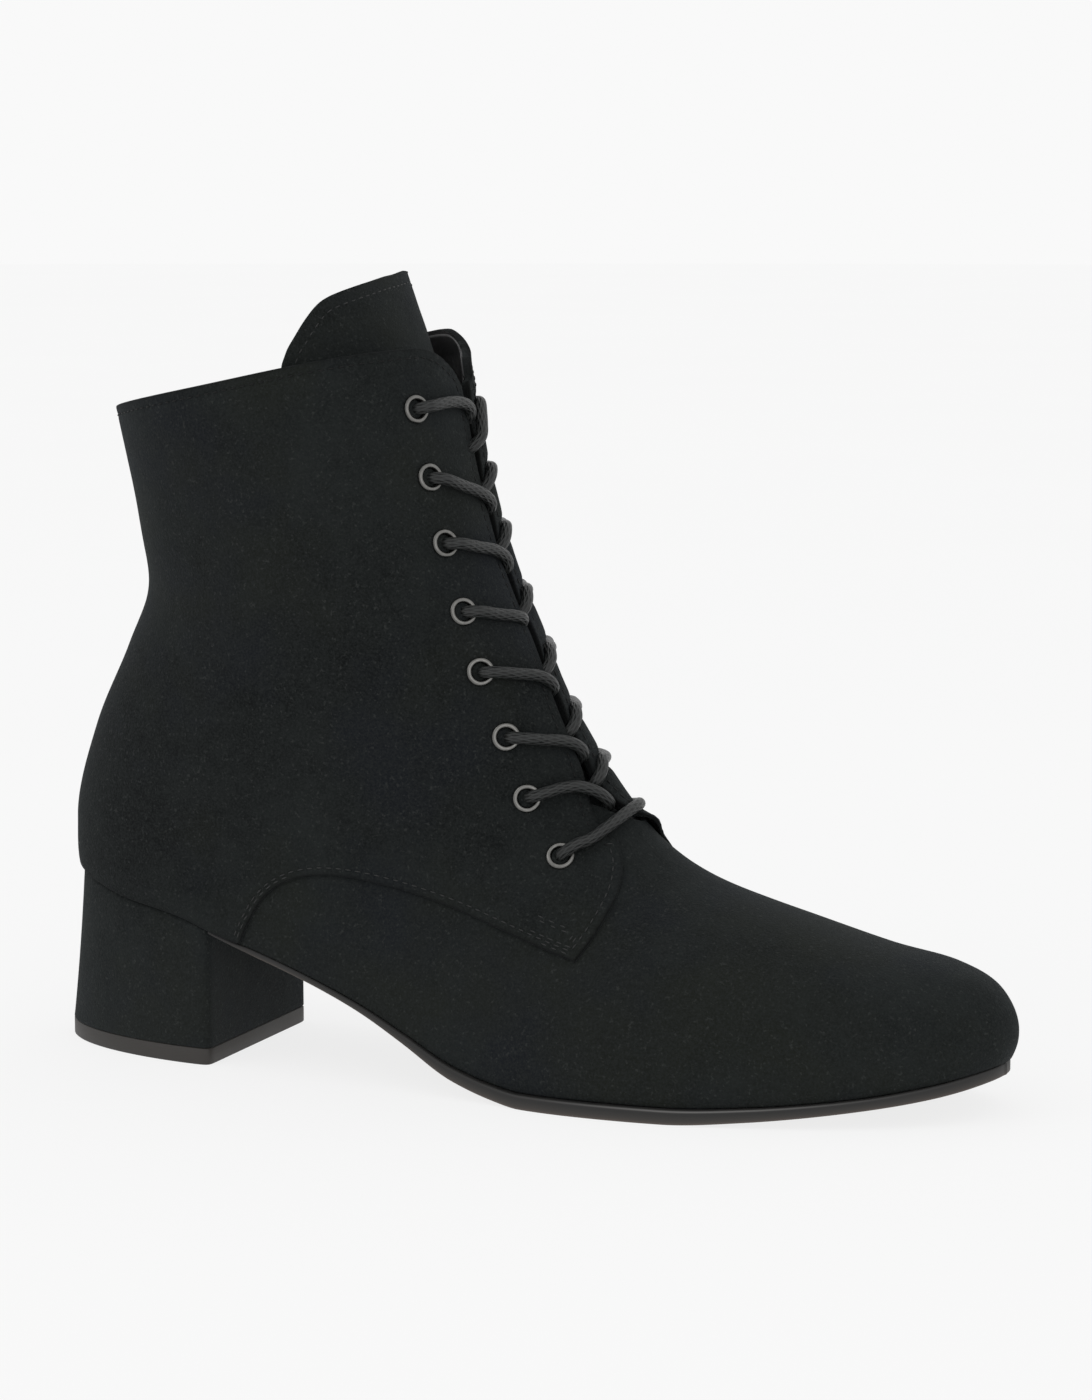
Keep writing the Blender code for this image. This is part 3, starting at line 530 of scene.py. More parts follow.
def feather_turn(place, side, level, height=SEAT_GAP):
    """The turn at which a level of the upper meets the sole's top."""
    place = np.asarray(place, float)

    def under(share):
        points = lifted(place, side * share, level)
        return points[..., 2] < sole_top(points[..., 0]) + height

    return side * bisect(np.zeros_like(place), np.full_like(place, 0.5), under)


# Edges of the panels, as lines of place and turn


def lengths(points):
    """The length along a line at each of its points."""
    return np.concatenate([[0.0], np.cumsum(np.linalg.norm(np.diff(points, axis=0), axis=1))])


def between_points(at, knots, values):
    """Rows of values read at some of the lengths that belong to them."""
    return np.stack([np.interp(at, knots, column) for column in values.T], axis=-1)


def along_line(line, shares):
    """Points at these shares of a line's length."""
    length = lengths(line)
    return between_points(np.asarray(shares) * length[-1], length, line)


def spread(curve, shares):
    """Places and turns at these shares of a curve's length on the boot."""
    length = lengths(surface(*curve.T))
    return between_points(np.asarray(shares) * length[-1], length, curve)


def length_of(curve):
    """A curve's length on the boot."""
    return float(lengths(surface(*curve.T))[-1])


def inset(curve, distance, side_sign):
    """The curve moved this far sideways over the boot; side_sign picks the way."""
    place, turn = curve.T
    step = FINE_STEP
    by_place = (surface(place + step, turn) - surface(place - step, turn)) / (2 * step)
    by_turn = (surface(place, turn + step) - surface(place, turn - step)) / (2 * step)
    along = np.gradient(surface(place, turn), axis=0)
    way = unit(np.cross(outward(place, turn), along)) * side_sign * distance
    a, b, c = (by_place**2).sum(-1), (by_place * by_turn).sum(-1), (by_turn**2).sum(-1)
    d, e = (way * by_place).sum(-1), (way * by_turn).sum(-1)
    fixed = a * c - b * b
    return curve + np.stack([(d * c - e * b) / fixed, (a * e - b * d) / fixed], axis=-1)


def collar_line(side):
    """A quarter's collar from the back seam round the front corner to the facing's edge."""
    height = smooth_line(COLLAR[side], 8)

    def over_collar(points):
        return points[..., 2] > np.interp(points[..., 0], height[:, 0], height[:, 1])

    def collar_place(turns):
        low = np.full_like(turns, BELOW_COLLAR)
        return bisect(np.zeros_like(turns), low, lambda place: over_collar(surface(place, turns)))

    def over_facing(place):
        return over_collar(surface(place, facing_turn(place, side)))

    if side == LATERAL:
        place, y = np.array(LATERAL_CORNER).T
        corner = smooth_line(np.stack([place, own_chart(front_turn(place, y), side)], -1), 12)
        turns = np.linspace(0, corner[0, 1], 330)[:-1]
        return np.vstack([np.stack([collar_place(turns), turns], -1), corner])
    end = bisect(np.array(0.0), np.array(BELOW_COLLAR), over_facing)
    turns = np.linspace(0, float(facing_turn(end, side)), 400)
    return np.stack([collar_place(turns), turns], -1)


def quarter_edges(side):
    """The lines of a quarter's outline: collar, facing, front, seat, lower edge and back seam."""
    collar = collar_line(side)
    top = int(np.argmax(surface(*collar.T)[:, 0] > COLLAR_CORNER_X[side]))
    places = np.linspace(collar[-1, 0], FACING_END[side], 160)[1:]
    facing = np.stack([places, facing_turn(places, side)], -1)
    front = locate(smooth_line(QUARTER_FRONT[side], 10)[::-1], side)
    lower = smooth_line(QUARTER_EDGE, 10)
    lower = lower[lower[:, 1] > sole_top(lower[:, 0]) + SEAT_GAP]
    lower = locate(lower, side)

    def over_seat(place):
        return lifted(place, 0.0, QUARTER_FACE)[..., 2] > sole_top(surface(place, 0.0)[..., 0]) + SEAT_GAP

    seat = float(bisect(*np.array(SEAT_PLACES), over_seat))
    places = np.linspace(seat, lower[0, 0], 120)[:-1]
    seat_line = np.stack([places, feather_turn(places, side, QUARTER_FACE)], -1)
    seat_line[0, 1] = 0.0
    back = np.stack([np.linspace(collar[0, 0], seat, 60), np.zeros(60)], -1)
    return {
        "collar": collar[: top + 1],
        "facing": np.vstack([collar[top:], facing]),
        "front": front,
        "seat": seat_line,
        "lower": lower,
        "back": back,
    }


def stretches(ends, counts):
    """Evenly spaced values over one stretch after another."""
    parts = [np.linspace(*span, count) for *span, count in zip(ends, ends[1:], counts)]
    return np.concatenate(parts[:1] + [part[1:] for part in parts[1:]])


def edge_spacing(middle_count, edge_steps):
    """Shares from 0 to 1, close together near both ends."""
    edge = np.asarray(edge_steps)
    middle = np.linspace(edge[-1], 1 - edge[-1], middle_count)[1:-1]
    return np.concatenate([edge, middle, 1 - edge[::-1]])


def coons(top, bottom, back, front, u, v):
    """Places and turns of a patch between four edges: top and bottom run with u, back and front with v."""
    top, bottom = spread(top, u)[None], spread(bottom, u)[None]
    back, front = spread(back, v)[:, None], spread(front, v)[:, None]
    u, v = u[None, :, None], v[:, None, None]
    upper_corners = (1 - u) * top[:, :1] + u * top[:, -1:]
    lower_corners = (1 - u) * bottom[:, :1] + u * bottom[:, -1:]
    corners = (1 - v) * upper_corners + v * lower_corners
    return (1 - v) * top + v * bottom + (1 - u) * back + u * front - corners


def quarter_grid(edges, u, v):
    """Places and turns over a quarter, in rows down it."""
    bottom = np.vstack([edges["seat"], edges["lower"]])
    front = np.vstack([edges["facing"], edges["front"]])
    return np.moveaxis(coons(edges["collar"], bottom, edges["back"], front, u, v), -1, 0)


# Mesh tools


def lay(bm, points):
    """A grid moved onto an array of points, rows by columns."""
    rows, cols = points.shape[:2]
    made = bmesh.ops.create_grid(bm, x_segments=cols - 1, y_segments=rows - 1, size=1.0, calc_uvs=True)
    ordered = sorted(made["verts"], key=lambda vert: (round(vert.co.y, 5), vert.co.x))
    for vert, point in zip(ordered, points.reshape(-1, 3)):
        vert.co = point
    return ordered


def add_to_scene(name, data):
    """A new object for a mesh, lamp or camera."""
    made = bpy.data.objects.new(name, data)
    bpy.context.scene.collection.objects.link(made)
    return made


def mesh_from(name, bm, looks):
    """A mesh with its materials from a bmesh, which is freed."""
    mesh = bpy.data.meshes.new(name)
    bm.to_mesh(mesh)
    bm.free()
    for look in looks:
        mesh.materials.append(look)
    return mesh


def finish_piece(name, bm, looks):
    """A shown piece from a bmesh, riding on the boot."""
    mesh = mesh_from(name, bm, looks)
    mesh.polygons.foreach_set("use_smooth", [True] * len(mesh.polygons))
    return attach(add_to_scene(name, mesh), "root")


def open_edges(bm):
    return [edge for edge in bm.edges if edge.is_boundary]


def close_tube(name, bm, looks):
    """A piece from a grid rolled into a tube: its seam is joined and its ends are filled."""
    bmesh.ops.remove_doubles(bm, verts=bm.verts, dist=MERGE)
    bmesh.ops.holes_fill(bm, edges=open_edges(bm))
    bmesh.ops.recalc_face_normals(bm, faces=bm.faces)
    return finish_piece(name, bm, looks)


def close_panel(name, outer, inner, looks, rim=None):
    """Two grids joined round their edges. The inner one takes the second look.

    The outer one's distance from its rim shades the cut edge.
    """
    bm = bmesh.new()
    bm.loops.layers.uv.new("panel")
    shade = bm.verts.layers.float.new("rim_shade")
    verts = lay(bm, outer)
    if rim is not None:
        for vert, distance in zip(verts, rim.reshape(-1)):
            vert[shade] = math.exp(-distance / RIM_SHADE)
    outer_faces = set(bm.faces)
    lay(bm, inner)
    for face in bm.faces:
        face.material_index = 0 if face in outer_faces else len(looks) - 1
    bmesh.ops.remove_doubles(bm, verts=bm.verts, dist=2 * MERGE)
    made = bmesh.ops.bridge_loops(bm, edges=open_edges(bm))
    for face in made["faces"]:
        face.material_index = 0
    bmesh.ops.recalc_face_normals(bm, faces=bm.faces)
    return finish_piece(name, bm, looks)


def nearest_among(points):
    """A finder of the nearest of these points."""
    tree = KDTree(len(points))
    for i, point in enumerate(points):
        tree.insert(point, i)
    tree.balance()
    return tree


def distances(points, lines):
    """How far each point is from the nearest of these lines of points."""
    tree = nearest_among(np.vstack(lines))
    flat = points.reshape(-1, 3)
    return np.array([tree.find(point)[2] for point in flat]).reshape(points.shape[:-1])


def evenly(curve, step):
    """A curve's places and turns, in even steps over the boot."""
    return spread(curve, np.linspace(0, 1, max(2, int(length_of(curve) / step)))).T


def dense(curve):
    """A curve as close points on the vamp's level."""
    return surface(*evenly(curve, DENSE_STEP))


def rounding(distance, radius):
    """How far a rounded edge drops this near its rim."""
    inside = np.clip(radius - distance, 0, radius)
    return radius - np.sqrt(np.maximum(radius**2 - inside**2, 0))


def dents(points, side):
    """Depth of the soft troughs at these points of one side."""
    depth = np.zeros(points.shape[:-1])
    for crease in CREASES:
        if crease.side == side:
            slope = math.radians(crease.slope)
            x, z = points[..., 0] - crease.x, points[..., 2] - crease.z
            along = x * math.cos(slope) + z * math.sin(slope)
            across = z * math.cos(slope) - x * math.sin(slope)
            trough = np.exp(-((across / crease.half_width) ** 2))
            ridge = np.exp(-(((across - RIDGE_AWAY * crease.half_width) / crease.half_width) ** 2))
            fade = np.exp(-((along / crease.half_length) ** 2))
            depth += crease.depth * (trough - RIDGE_SHARE * ridge) * fade
    return depth


def pressed(points, side):
    """How far the lace's strands press a facing in, growing from each eyelet to the edge."""
    depth = np.zeros(points.shape[:-1])
    flat = points.reshape(-1, 3)
    shares = np.linspace(0, 1, 40)
    deep = look_up(LACE_PRESS[side], "share", "depth", shares)
    for number in range(EYELET_COUNT - 1):
        line = facing_line(number, side, shares)
        gap = np.linalg.norm(flat[:, None] - line[None], axis=-1)
        press = deep[gap.argmin(axis=1)] * np.exp(-((gap.min(axis=1) / PRESS_HALF_WIDTH) ** 2))
        depth = np.maximum(depth, press.reshape(depth.shape))
    return depth


# Panels of the upper

# Shares of a panel's width at which its grid starts, close together for the rounded rim
PANEL_EDGE = (0.0, 0.0005, 0.0012, 0.0022, 0.0036, 0.0060, 0.0090, 0.0125, 0.0160, 0.0200, 0.0240, 0.0300)
VAMP_EDGE_STEPS = (0.0, 0.0007, 0.0016, 0.003, 0.005, 0.009, 0.014, 0.020)
TONGUE_EDGE_STEPS = (0.0, 0.004, 0.010, 0.020, 0.035, 0.055, 0.075, 0.1)
SOCK_EDGE_STEPS = (0.0, 0.012, 0.03)
# The lining's part of a quarter, from the back seam and from the collar
LINING_SPAN = 0.985
LINING_DROP = 0.008
# The vamp's rows lie closer from the toe on, and settle on its slanting back edge in a few rounds
TOE_PLACE = 14
TOE_SHARE = 0.93
VAMP_MARGIN = 0.1
VAMP_ROUNDS = 6
# Ends of the tongue and the sock
TONGUE_END = 9.6
TONGUE_TOP_POWER = 2.2
SOCK_LEAST_WIDTH = 0.004
SOCK_END_X = 0.2225


def build_quarter(side, word, looks):
    """One quarter from its own edges: rounded rims, grooves for the stitches, thin where it laps the vamp."""
    edges = quarter_edges(side)
    place, turn = quarter_grid(edges, edge_spacing(110, PANEL_EDGE), edge_spacing(120, PANEL_EDGE))
    face = surface(place, turn)
    rim = distances(face, [dense(edge) for edge in edges.values()])
    rim[[0, -1]] = 0.0
    rim[:, [0, -1]] = 0.0
    outer = QUARTER_FACE - rounding(rim, EDGE_ROUND) - dents(face, side)
    for names, row in ((("collar", "facing", "front"), FACING_ROW), (("lower",), LOWER_ROW)):
        away = distances(face, [dense(edges[name]) for name in names])
        outer = outer - STITCH_GROOVE * np.exp(-(((away - row) / GROOVE_HALF_WIDTH) ** 2))
    across = side * (1 - np.abs(turn))
    lapped = np.clip((place - vamp_start(across)) / LAP_BLEND + 1, 0, 1)
    inner = QUARTER_BACK + (LAPPED_BACK - QUARTER_BACK) * lapped
    if side == MEDIAL:
        along_front = ((place - FLARE_PLACE) / FLARE_LENGTH) ** 2
        flare = FLARE * np.exp(-along_front - ((across - FLARE_ACROSS) / FLARE_WIDTH) ** 2)
        outer = outer + flare
        inner = inner + flare
    press = pressed(face, side)
    skin, back = lifted(place, turn, outer - press), lifted(place, turn, inner - press)
    return close_panel("quarter_" + word, skin, back, looks, rim), edges


def build_lining(side, word, edges, looks):
    """Thin lining inside a quarter, set back a little from its edges."""
    u = LINING_SPAN * np.linspace(0, 1, 70)
    v = LINING_DROP + LINING_SPAN * np.linspace(0, 1, 90)
    place, turn = quarter_grid(edges, u, v)
    press = pressed(surface(place, turn), side)
    outer, inner = (lifted(place, turn, level - press) for level in (LINING_FACE, LINING_BACK))
    return close_panel("lining_" + word, outer, inner, looks)


def build_vamp(looks):
    """The vamp, from under the quarters over the instep to the toe and down to the sole on both sides."""
    stations = stretches((VAMP_START - VAMP_MARGIN, TOE_PLACE, TIP), (160, 120))
    reach = {side: 1 - np.abs(feather_turn(stations, side, 0.0)) for side, _ in SIDES}
    for side, _ in SIDES:
        reach[side][reach[side] > 1 - 1e-6] = 1.0
    u = edge_spacing(130, VAMP_EDGE_STEPS)
    ridge = np.stack([np.linspace(VAMP_START, TIP, 600), np.full(600, 1.0)], -1)
    rows = spread(ridge, stretches((0, TOE_SHARE, 1), (140, 24)))[:, 0]
    share = ((rows - VAMP_START) / (TIP - VAMP_START))[:, None]
    place = np.repeat(rows[:, None], len(u), axis=1)
    for _ in range(VAMP_ROUNDS):
        lateral, medial = (np.interp(place, stations, reach[side]) for side, _ in SIDES)
        across = -lateral + (lateral + medial) * u[None]
        start = vamp_start(across)
        place = start + (TIP - start) * share
    turn = -1 - across
    place[-1] = TIP
    face = surface(place, turn)
    edge_lines = [face[:, 0], face[:, -1], face[0]]
    rim = distances(face, [np.vstack([line, (line[1:] + line[:-1]) / 2]) for line in edge_lines])
    rim[:, [0, -1]] = 0.0
    rim[np.interp(place, stations, reach[LATERAL]) >= 1.0] = 1.0
    soft = np.where(across < 0, dents(face, LATERAL), dents(face, MEDIAL))
    skin = lifted(place, turn, -rounding(rim, FEATHER_ROUND) - soft)
    back = lifted(place, turn, VAMP_BACK)
    for layer in (skin, back):
        layer[-1] = layer[-1].mean(0)
    return close_panel("vamp", skin, back, looks)


def build_tongue(looks):
    """The tongue, with its round top edge slanting down to the outer side."""
    top = TONGUE_TOP + (1.0 - TONGUE_TOP) * np.linspace(0, 1, 60) ** TONGUE_TOP_POWER
    places = np.concatenate([top, np.linspace(1.0, TONGUE_END, 130)[1:]])
    across = edge_spacing(50, TONGUE_EDGE_STEPS) * 2 - 1
    columns = ("span", "ridge_depth", "edge_depth")
    span, ridge, edge = (look_up(TONGUE, "place", name, places)[:, None] for name in columns)
    turn = np.where(across < 0, -1, 1) * (1 - span * np.abs(across))
    fade = np.clip((TONGUE_SLANT_FADE - places) / (TONGUE_SLANT_FADE - TONGUE_TOP), 0, None)[:, None]
    place = places[:, None] - TONGUE_SLANT * np.minimum(span * across, TONGUE_SLANT_END) * fade
    depth = edge + (ridge - edge) * (1 - across**2)
    face = lifted(place, turn, -depth, laced=False)
    rim = distances(face, [face[:, 0], face[:, -1], face[0]])
    skin = lifted(place, turn, -depth - rounding(rim, EDGE_ROUND), laced=False)
    back = lifted(place, turn, -depth - TONGUE_THICKNESS + rounding(rim, EDGE_ROUND), laced=False)
    shown = int(np.argmax(places > TONGUE_SEWN))
    tongue = close_panel("tongue_suede", skin, back, looks)
    return tongue, face[:shown], outward(place, turn, laced=False)[:shown]


def build_tongue_stitches(face, normals, looks):
    """The row just inside the tongue's edge, up one side, round the top and down the other."""
    outline, up = (
        np.vstack([rows[::-1, 0], rows[0, 1:-1], rows[:, -1]]) for rows in (face, normals)
    )
    along = unit(np.gradient(outline, axis=0))
    line = outline + TONGUE_ROW * unit(np.cross(along, up))
    tree = nearest_among(face.reshape(-1, 3))
    for k, point in enumerate(line):
        spot, i, _ = tree.find(point)
        up[k] = normals.reshape(-1, 3)[i]
        line[k] = point - up[k] * np.dot(point - np.array(spot), up[k])
    bm = bmesh.new()
    sew(bm, line + up * TONGUE_RISE, up)
    return finish_piece("stitches_tongue", bm, looks)


def build_insole(looks):
    """The sock inside, from the heel to the toe."""
    level = LINING_BACK - GAP
    height = GAP + INSOLE_THICKNESS
    stations = stretches(SOCK_PLACES, (60, 110))
    lateral, medial = (
        lifted(stations, feather_turn(stations, side, level, height), level) for side, _ in SIDES
    )
    keep = (np.abs(lateral[:, 1] - medial[:, 1]) > SOCK_LEAST_WIDTH) & (lateral[:, 0] < SOCK_END_X)
    across = edge_spacing(30, SOCK_EDGE_STEPS)[None, :, None]
    top = lateral[keep][:, None] + (medial - lateral)[keep][:, None] * across
    top[..., 2] = sole_top(top[..., 0]) + height
    bottom = top.copy()
    bottom[..., 2] = sole_top(top[..., 0]) + GAP
    return close_panel("sock", top, bottom, looks)


# Sole and heel


def feather_outline(side):
    """Plan outline of the upper on the sole, from the back of the heel to the toe."""
    places = stretches((*FEATHER_PLACES, TIP - TIP_MARGIN), (160, 200, 160))
    turns = feather_turn(places, side, 0.0, 0.0)
    points = surface(places, turns)
    return points[np.abs(turns) > 1e-5][:, :2]


def sole_side(side):
    """Edge of the outsole in plan, with the inward direction at each point."""
    outline = feather_outline(side)
    breast = HEEL_BREAST_X[side] + GAP
    outline = outline[outline[:, 0] > breast]
    tip = (outline[-1] + feather_outline(-side)[-1]) / 2 + np.array([SOLE_TIP_REACH, 0.0])
    outline = np.vstack([outline, tip])
    along = np.gradient(outline, axis=0)
    along[-1] = (0.0, -side)
    away = unit(np.stack([-along[:, 1], along[:, 0]], axis=-1) * side)
    edge = outline + away * look_up(SOLE_EDGE, "x", "reach", outline[:, 0])[:, None]
    shares = 1 - (1 - np.linspace(0.0, SOLE_LAST_STATION, SOLE_STATIONS)) ** SOLE_CLOSENESS
    points = along_line(edge, shares)
    points[0, 0] = breast
    inward = -between_points(points[:, 0], edge[:, 0], away)
    inward[0] = (0.0, -side)
    return points, inward


def sole_profile(points, inward):
    """Rows of the sole's edge from its top over the rounded corner and down to the underside."""
    x, y = points.T
    thin = SOLE_THIN + (1 - SOLE_THIN) * np.clip((x - x[0]) / SOLE_THIN_LENGTH, 0, 1)
    top = sole_top(x)
    bottom = top - (top - sole_bottom(x)) * thin

    def row(back, z):
        return np.stack([x + back * inward[:, 0], y + back * inward[:, 1], z], -1)

    rows = []
    for angle in np.linspace(0, math.pi / 2, 7):
        far, near = (SOLE_TOP_ROUND * thin * (1 - turn) for turn in (math.sin(angle), math.cos(angle)))
        rows.append(row(far, top - near))
    for angle in np.linspace(0, math.pi / 2, 5):
        far, near = (SOLE_FOOT_ROUND * thin * (1 - turn) for turn in (math.sin(angle), math.cos(angle)))
        rows.append(row(near, bottom + far))
    return rows


def build_outsole(looks):
    """The sole as a tube flattened round its edge, with the height on its edge marked for its tones and a
    painted highlight marked on its top rim beside the ball.
    """
    lateral, medial = (sole_profile(*sole_side(side)) for side, _ in SIDES)
    across = np.linspace(0, 1, 10)[1:-1]
    under = [between(lateral[-1], medial[-1], share) for share in across]
    over = [between(medial[0], lateral[0], share) for share in across]
    ring = lateral + under + medial[::-1] + over + lateral[:1]
    bm = bmesh.new()
    bm.loops.layers.uv.new("sole")
    drop = bm.verts.layers.float.new("edge_drop")
    shine = bm.verts.layers.float.new("edge_shine")
    points = np.stack(ring, axis=1)
    x, z = points[..., 0], points[..., 2]
    down_edge = (sole_top(x) - z) / (sole_top(x) - sole_bottom(x))
    # Painted highlight: a narrow bright line just below the sole's top rim, strongest beside the ball
    bright = np.exp(-(((x - SHINE_X) / SHINE_LENGTH) ** 2) - ((down_edge - SHINE_DROP) / SHINE_HEIGHT) ** 2)
    for vert, share, light in zip(lay(bm, points), down_edge.reshape(-1), bright.reshape(-1)):
        vert[drop] = share
        vert[shine] = light
    return close_tube("outsole_rubber", bm, looks)


def closed_outline(horseshoe):
    """A horseshoe closed across the breast, evenly spaced with softened corners."""
    horseshoe = along_line(horseshoe, np.linspace(0, 1, 400))
    breast = np.linspace(horseshoe[-1], horseshoe[0], 60)[1:]
    outline = along_line(np.vstack([horseshoe, breast]), np.linspace(0, 1, HEEL_POINTS + 1)[:-1])
    for _ in range(HEEL_CORNER_PASSES):
        outline = (np.roll(outline, 1, axis=0) + 2 * outline + np.roll(outline, -1, axis=0)) / 4
    return outline


def lift_outline():
    """Plan outline of the lift, from the outer breast corner round the back to the inner one."""
    angle = np.linspace(0, math.pi, 600)
    back = np.abs(np.sin(angle)) ** (2 / LIFT_ROUND)
    out = np.copysign(np.abs(np.cos(angle)) ** (2 / LIFT_ROUND), -np.cos(angle))
    middle = (HEEL_BREAST_X[LATERAL] + HEEL_BREAST_X[MEDIAL]) / 2
    breast = np.where(out < 0, HEEL_BREAST_X[LATERAL], HEEL_BREAST_X[MEDIAL])
    start_x = middle + (breast - middle) * np.abs(out)
    return np.stack([start_x - (start_x - LIFT_BACK_X) * back, LIFT_HALF_WIDTH * out], -1)


def heel_seat_outline():
    """Plan outline of the heel's top, under the upper's own edge."""
    halves = []
    for side, _ in SIDES:
        outline = feather_outline(side)
        outline = outline[outline[:, 0] < HEEL_BREAST_X[side]]
        end = np.array([HEEL_BREAST_X[side], outline[-1, 1]])
        back = np.array([outline[0, 0] - HEEL_OVERHANG, 0.0])
        halves.append(np.vstack([back, outline, end]))
    return np.vstack([halves[0][::-1], halves[1][1:]])


def inward_of(outline):
    along = np.roll(outline, -1, axis=0) - np.roll(outline, 1, axis=0)
    return unit(np.stack([along[:, 1], -along[:, 0]], -1))


# Rounded rims of the heel's cover and the lift. The cover's lower rim is smaller
HEEL_RIM = table("inset drop", (0.7, 0), (0.35, 0.1), (0.1, 0.35), (0, 0.8))
LIFT_RIM = table("inset drop", (0.25, 0), (0, 0.25))
LOWER_RIM_SHARE = 0.4


def build_heel(suede, rubber):
    """The covered heel block, from the seat down to the lift, and the lift."""
    seat, foot = closed_outline(heel_seat_outline()), closed_outline(lift_outline())
    seat_in, foot_in = inward_of(seat), inward_of(foot)
    seat_top = sole_top(seat[:, 0])
    low = LIFT_HEIGHT + GAP / 3

    def foot_row(inset, z):
        return np.column_stack([foot + foot_in * inset, np.full(len(foot), z)])

    rows = [np.column_stack([seat + seat_in * step.inset, seat_top - step.drop]) for step in HEEL_RIM]
    for level in np.linspace(0, 1, 26)[1:-1]:
        rows.append(np.column_stack([between(seat, foot, level), between(seat_top, low, level)]))
    for step in HEEL_RIM[::-1]:
        rows.append(foot_row(LOWER_RIM_SHARE * step.inset, low + LOWER_RIM_SHARE * step.drop))
    heel = closed_loft("heel_cover", np.array(rows), suede)
    rows = [foot_row(step.inset, LIFT_HEIGHT - step.drop) for step in LIFT_RIM]
    rows += [foot_row(step.inset, step.drop) for step in LIFT_RIM[::-1]]
    return heel, closed_loft("lift_rubber", np.array(rows), rubber)


def closed_loft(name, rows, looks):
    """A skin over rings, with both ends filled."""
    bm = bmesh.new()
    bm.loops.layers.uv.new("loft")
    lay(bm, np.concatenate([rows, rows[:, :1]], axis=1))
    bmesh.ops.remove_doubles(bm, verts=bm.verts, dist=MERGE)
    for loop_edges in boundary_loops(bm):
        bmesh.ops.triangle_fill(bm, edges=loop_edges, use_beauty=True)
    bmesh.ops.recalc_face_normals(bm, faces=bm.faces)
    return finish_piece(name, bm, looks)


def boundary_loops(bm):
    """The open edges of a mesh, one list for each loop."""
    left = set(open_edges(bm))
    loops = []
    while left:
        start = left.pop()
        loop, ends = [start], list(start.verts)
        while ends:
            for edge in ends.pop().link_edges:
                if edge in left:
                    left.discard(edge)
                    loop.append(edge)
                    ends += edge.verts
        loops.append(loop)
    return loops


# Eyelets, stitches and lace


def eyelet_frame(row, side):
    """Where an eyelet sits on the quarter, and the way it faces."""
    spot = locate([row], side).T
    origin = lifted(*spot, QUARTER_FACE)[0]
    facing = Vector(outward(*spot)[0])
    return Matrix.Translation(origin) @ facing.to_track_quat("Z", "Y").to_matrix().to_4x4()


def build_eyelets(looks):
    """The rings, turned from one section, with painted shading marked on them: light crowns, and walls
    darkened as painted shade.
    """
    pieces = []
    for side, word in SIDES:
        for number, row in enumerate(EYELETS[side], 1):
            bm = bmesh.new()
            ring = [bm.verts.new((point.radius, 0.0, point.height)) for point in EYELET_RING]
            edges = [bm.edges.new(pair) for pair in zip(ring, ring[1:] + ring[:1])]
            bmesh.ops.spin(
                bm, geom=ring + edges, cent=(0, 0, 0), axis=(0, 0, 1), angle=2 * math.pi,
                steps=EYELET_STEPS, use_merge=True, use_duplicate=False,
            )
            bmesh.ops.remove_doubles(bm, verts=bm.verts, dist=MERGE)
            bmesh.ops.recalc_face_normals(bm, faces=bm.faces)
            # Painted shading: 0 on the ring's walls, which get painted shade, rising to 1 on its crown
            crown = bm.verts.layers.float.new("crown")
            for vert in bm.verts:
                vert[crown] = max(0.0, vert.co.z / RING_CROWN) ** 2
            bmesh.ops.transform(bm, matrix=eyelet_frame(row, side), verts=bm.verts)
            piece = finish_piece("ring_%s_%d" % (word, number), bm, looks)
            pieces.append(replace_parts(piece, "eyelet_%s_%d" % (word, number)))
    return pieces


def stitch(bm, middle, along, normal, look):
    """One stitch: a small round bar that sinks into the suede at its ends."""
    across = np.cross(normal, along)
    turn = Matrix((along, across, normal)).transposed().to_4x4()
    size = Matrix.Diagonal((STITCH_LENGTH / 2, STITCH_WIDTH / 2, STITCH_WIDTH / 2, 1.0))
    made = bmesh.ops.create_uvsphere(
        bm, u_segments=6, v_segments=4, radius=1.0, matrix=Matrix.Translation(middle) @ turn @ size
    )
    for vert in made["verts"]:
        for face in vert.link_faces:
            face.material_index = look


def sew(bm, points, normals, look=0):
    """Stitches along a line of points."""
    length = lengths(points)
    count = max(1, int(length[-1] / STITCH_PITCH))
    for k in range(count):
        at = (k + 0.5) * length[-1] / count
        middle = between_points(at, length, points)
        ahead = between_points(at + SEWN_STEP, length, points)
        normal = unit(between_points(at, length, normals))
        along = unit(ahead - middle)
        along = unit(along - normal * along.dot(normal))
        stitch(bm, middle, along, normal, look)


def sew_row(bm, curve, start, end, look=0):
    """Stitches along a curve on a quarter, less this much of its length at each end."""
    whole = length_of(curve)
    kept = spread(curve, np.linspace(start / whole, 1 - end / whole, 300))
    place, turn = evenly(kept, SEWN_STEP)
    level = QUARTER_FACE - STITCH_GROOVE + STITCH_RISE
    sew(bm, lifted(place, turn, level), outward(place, turn), look)


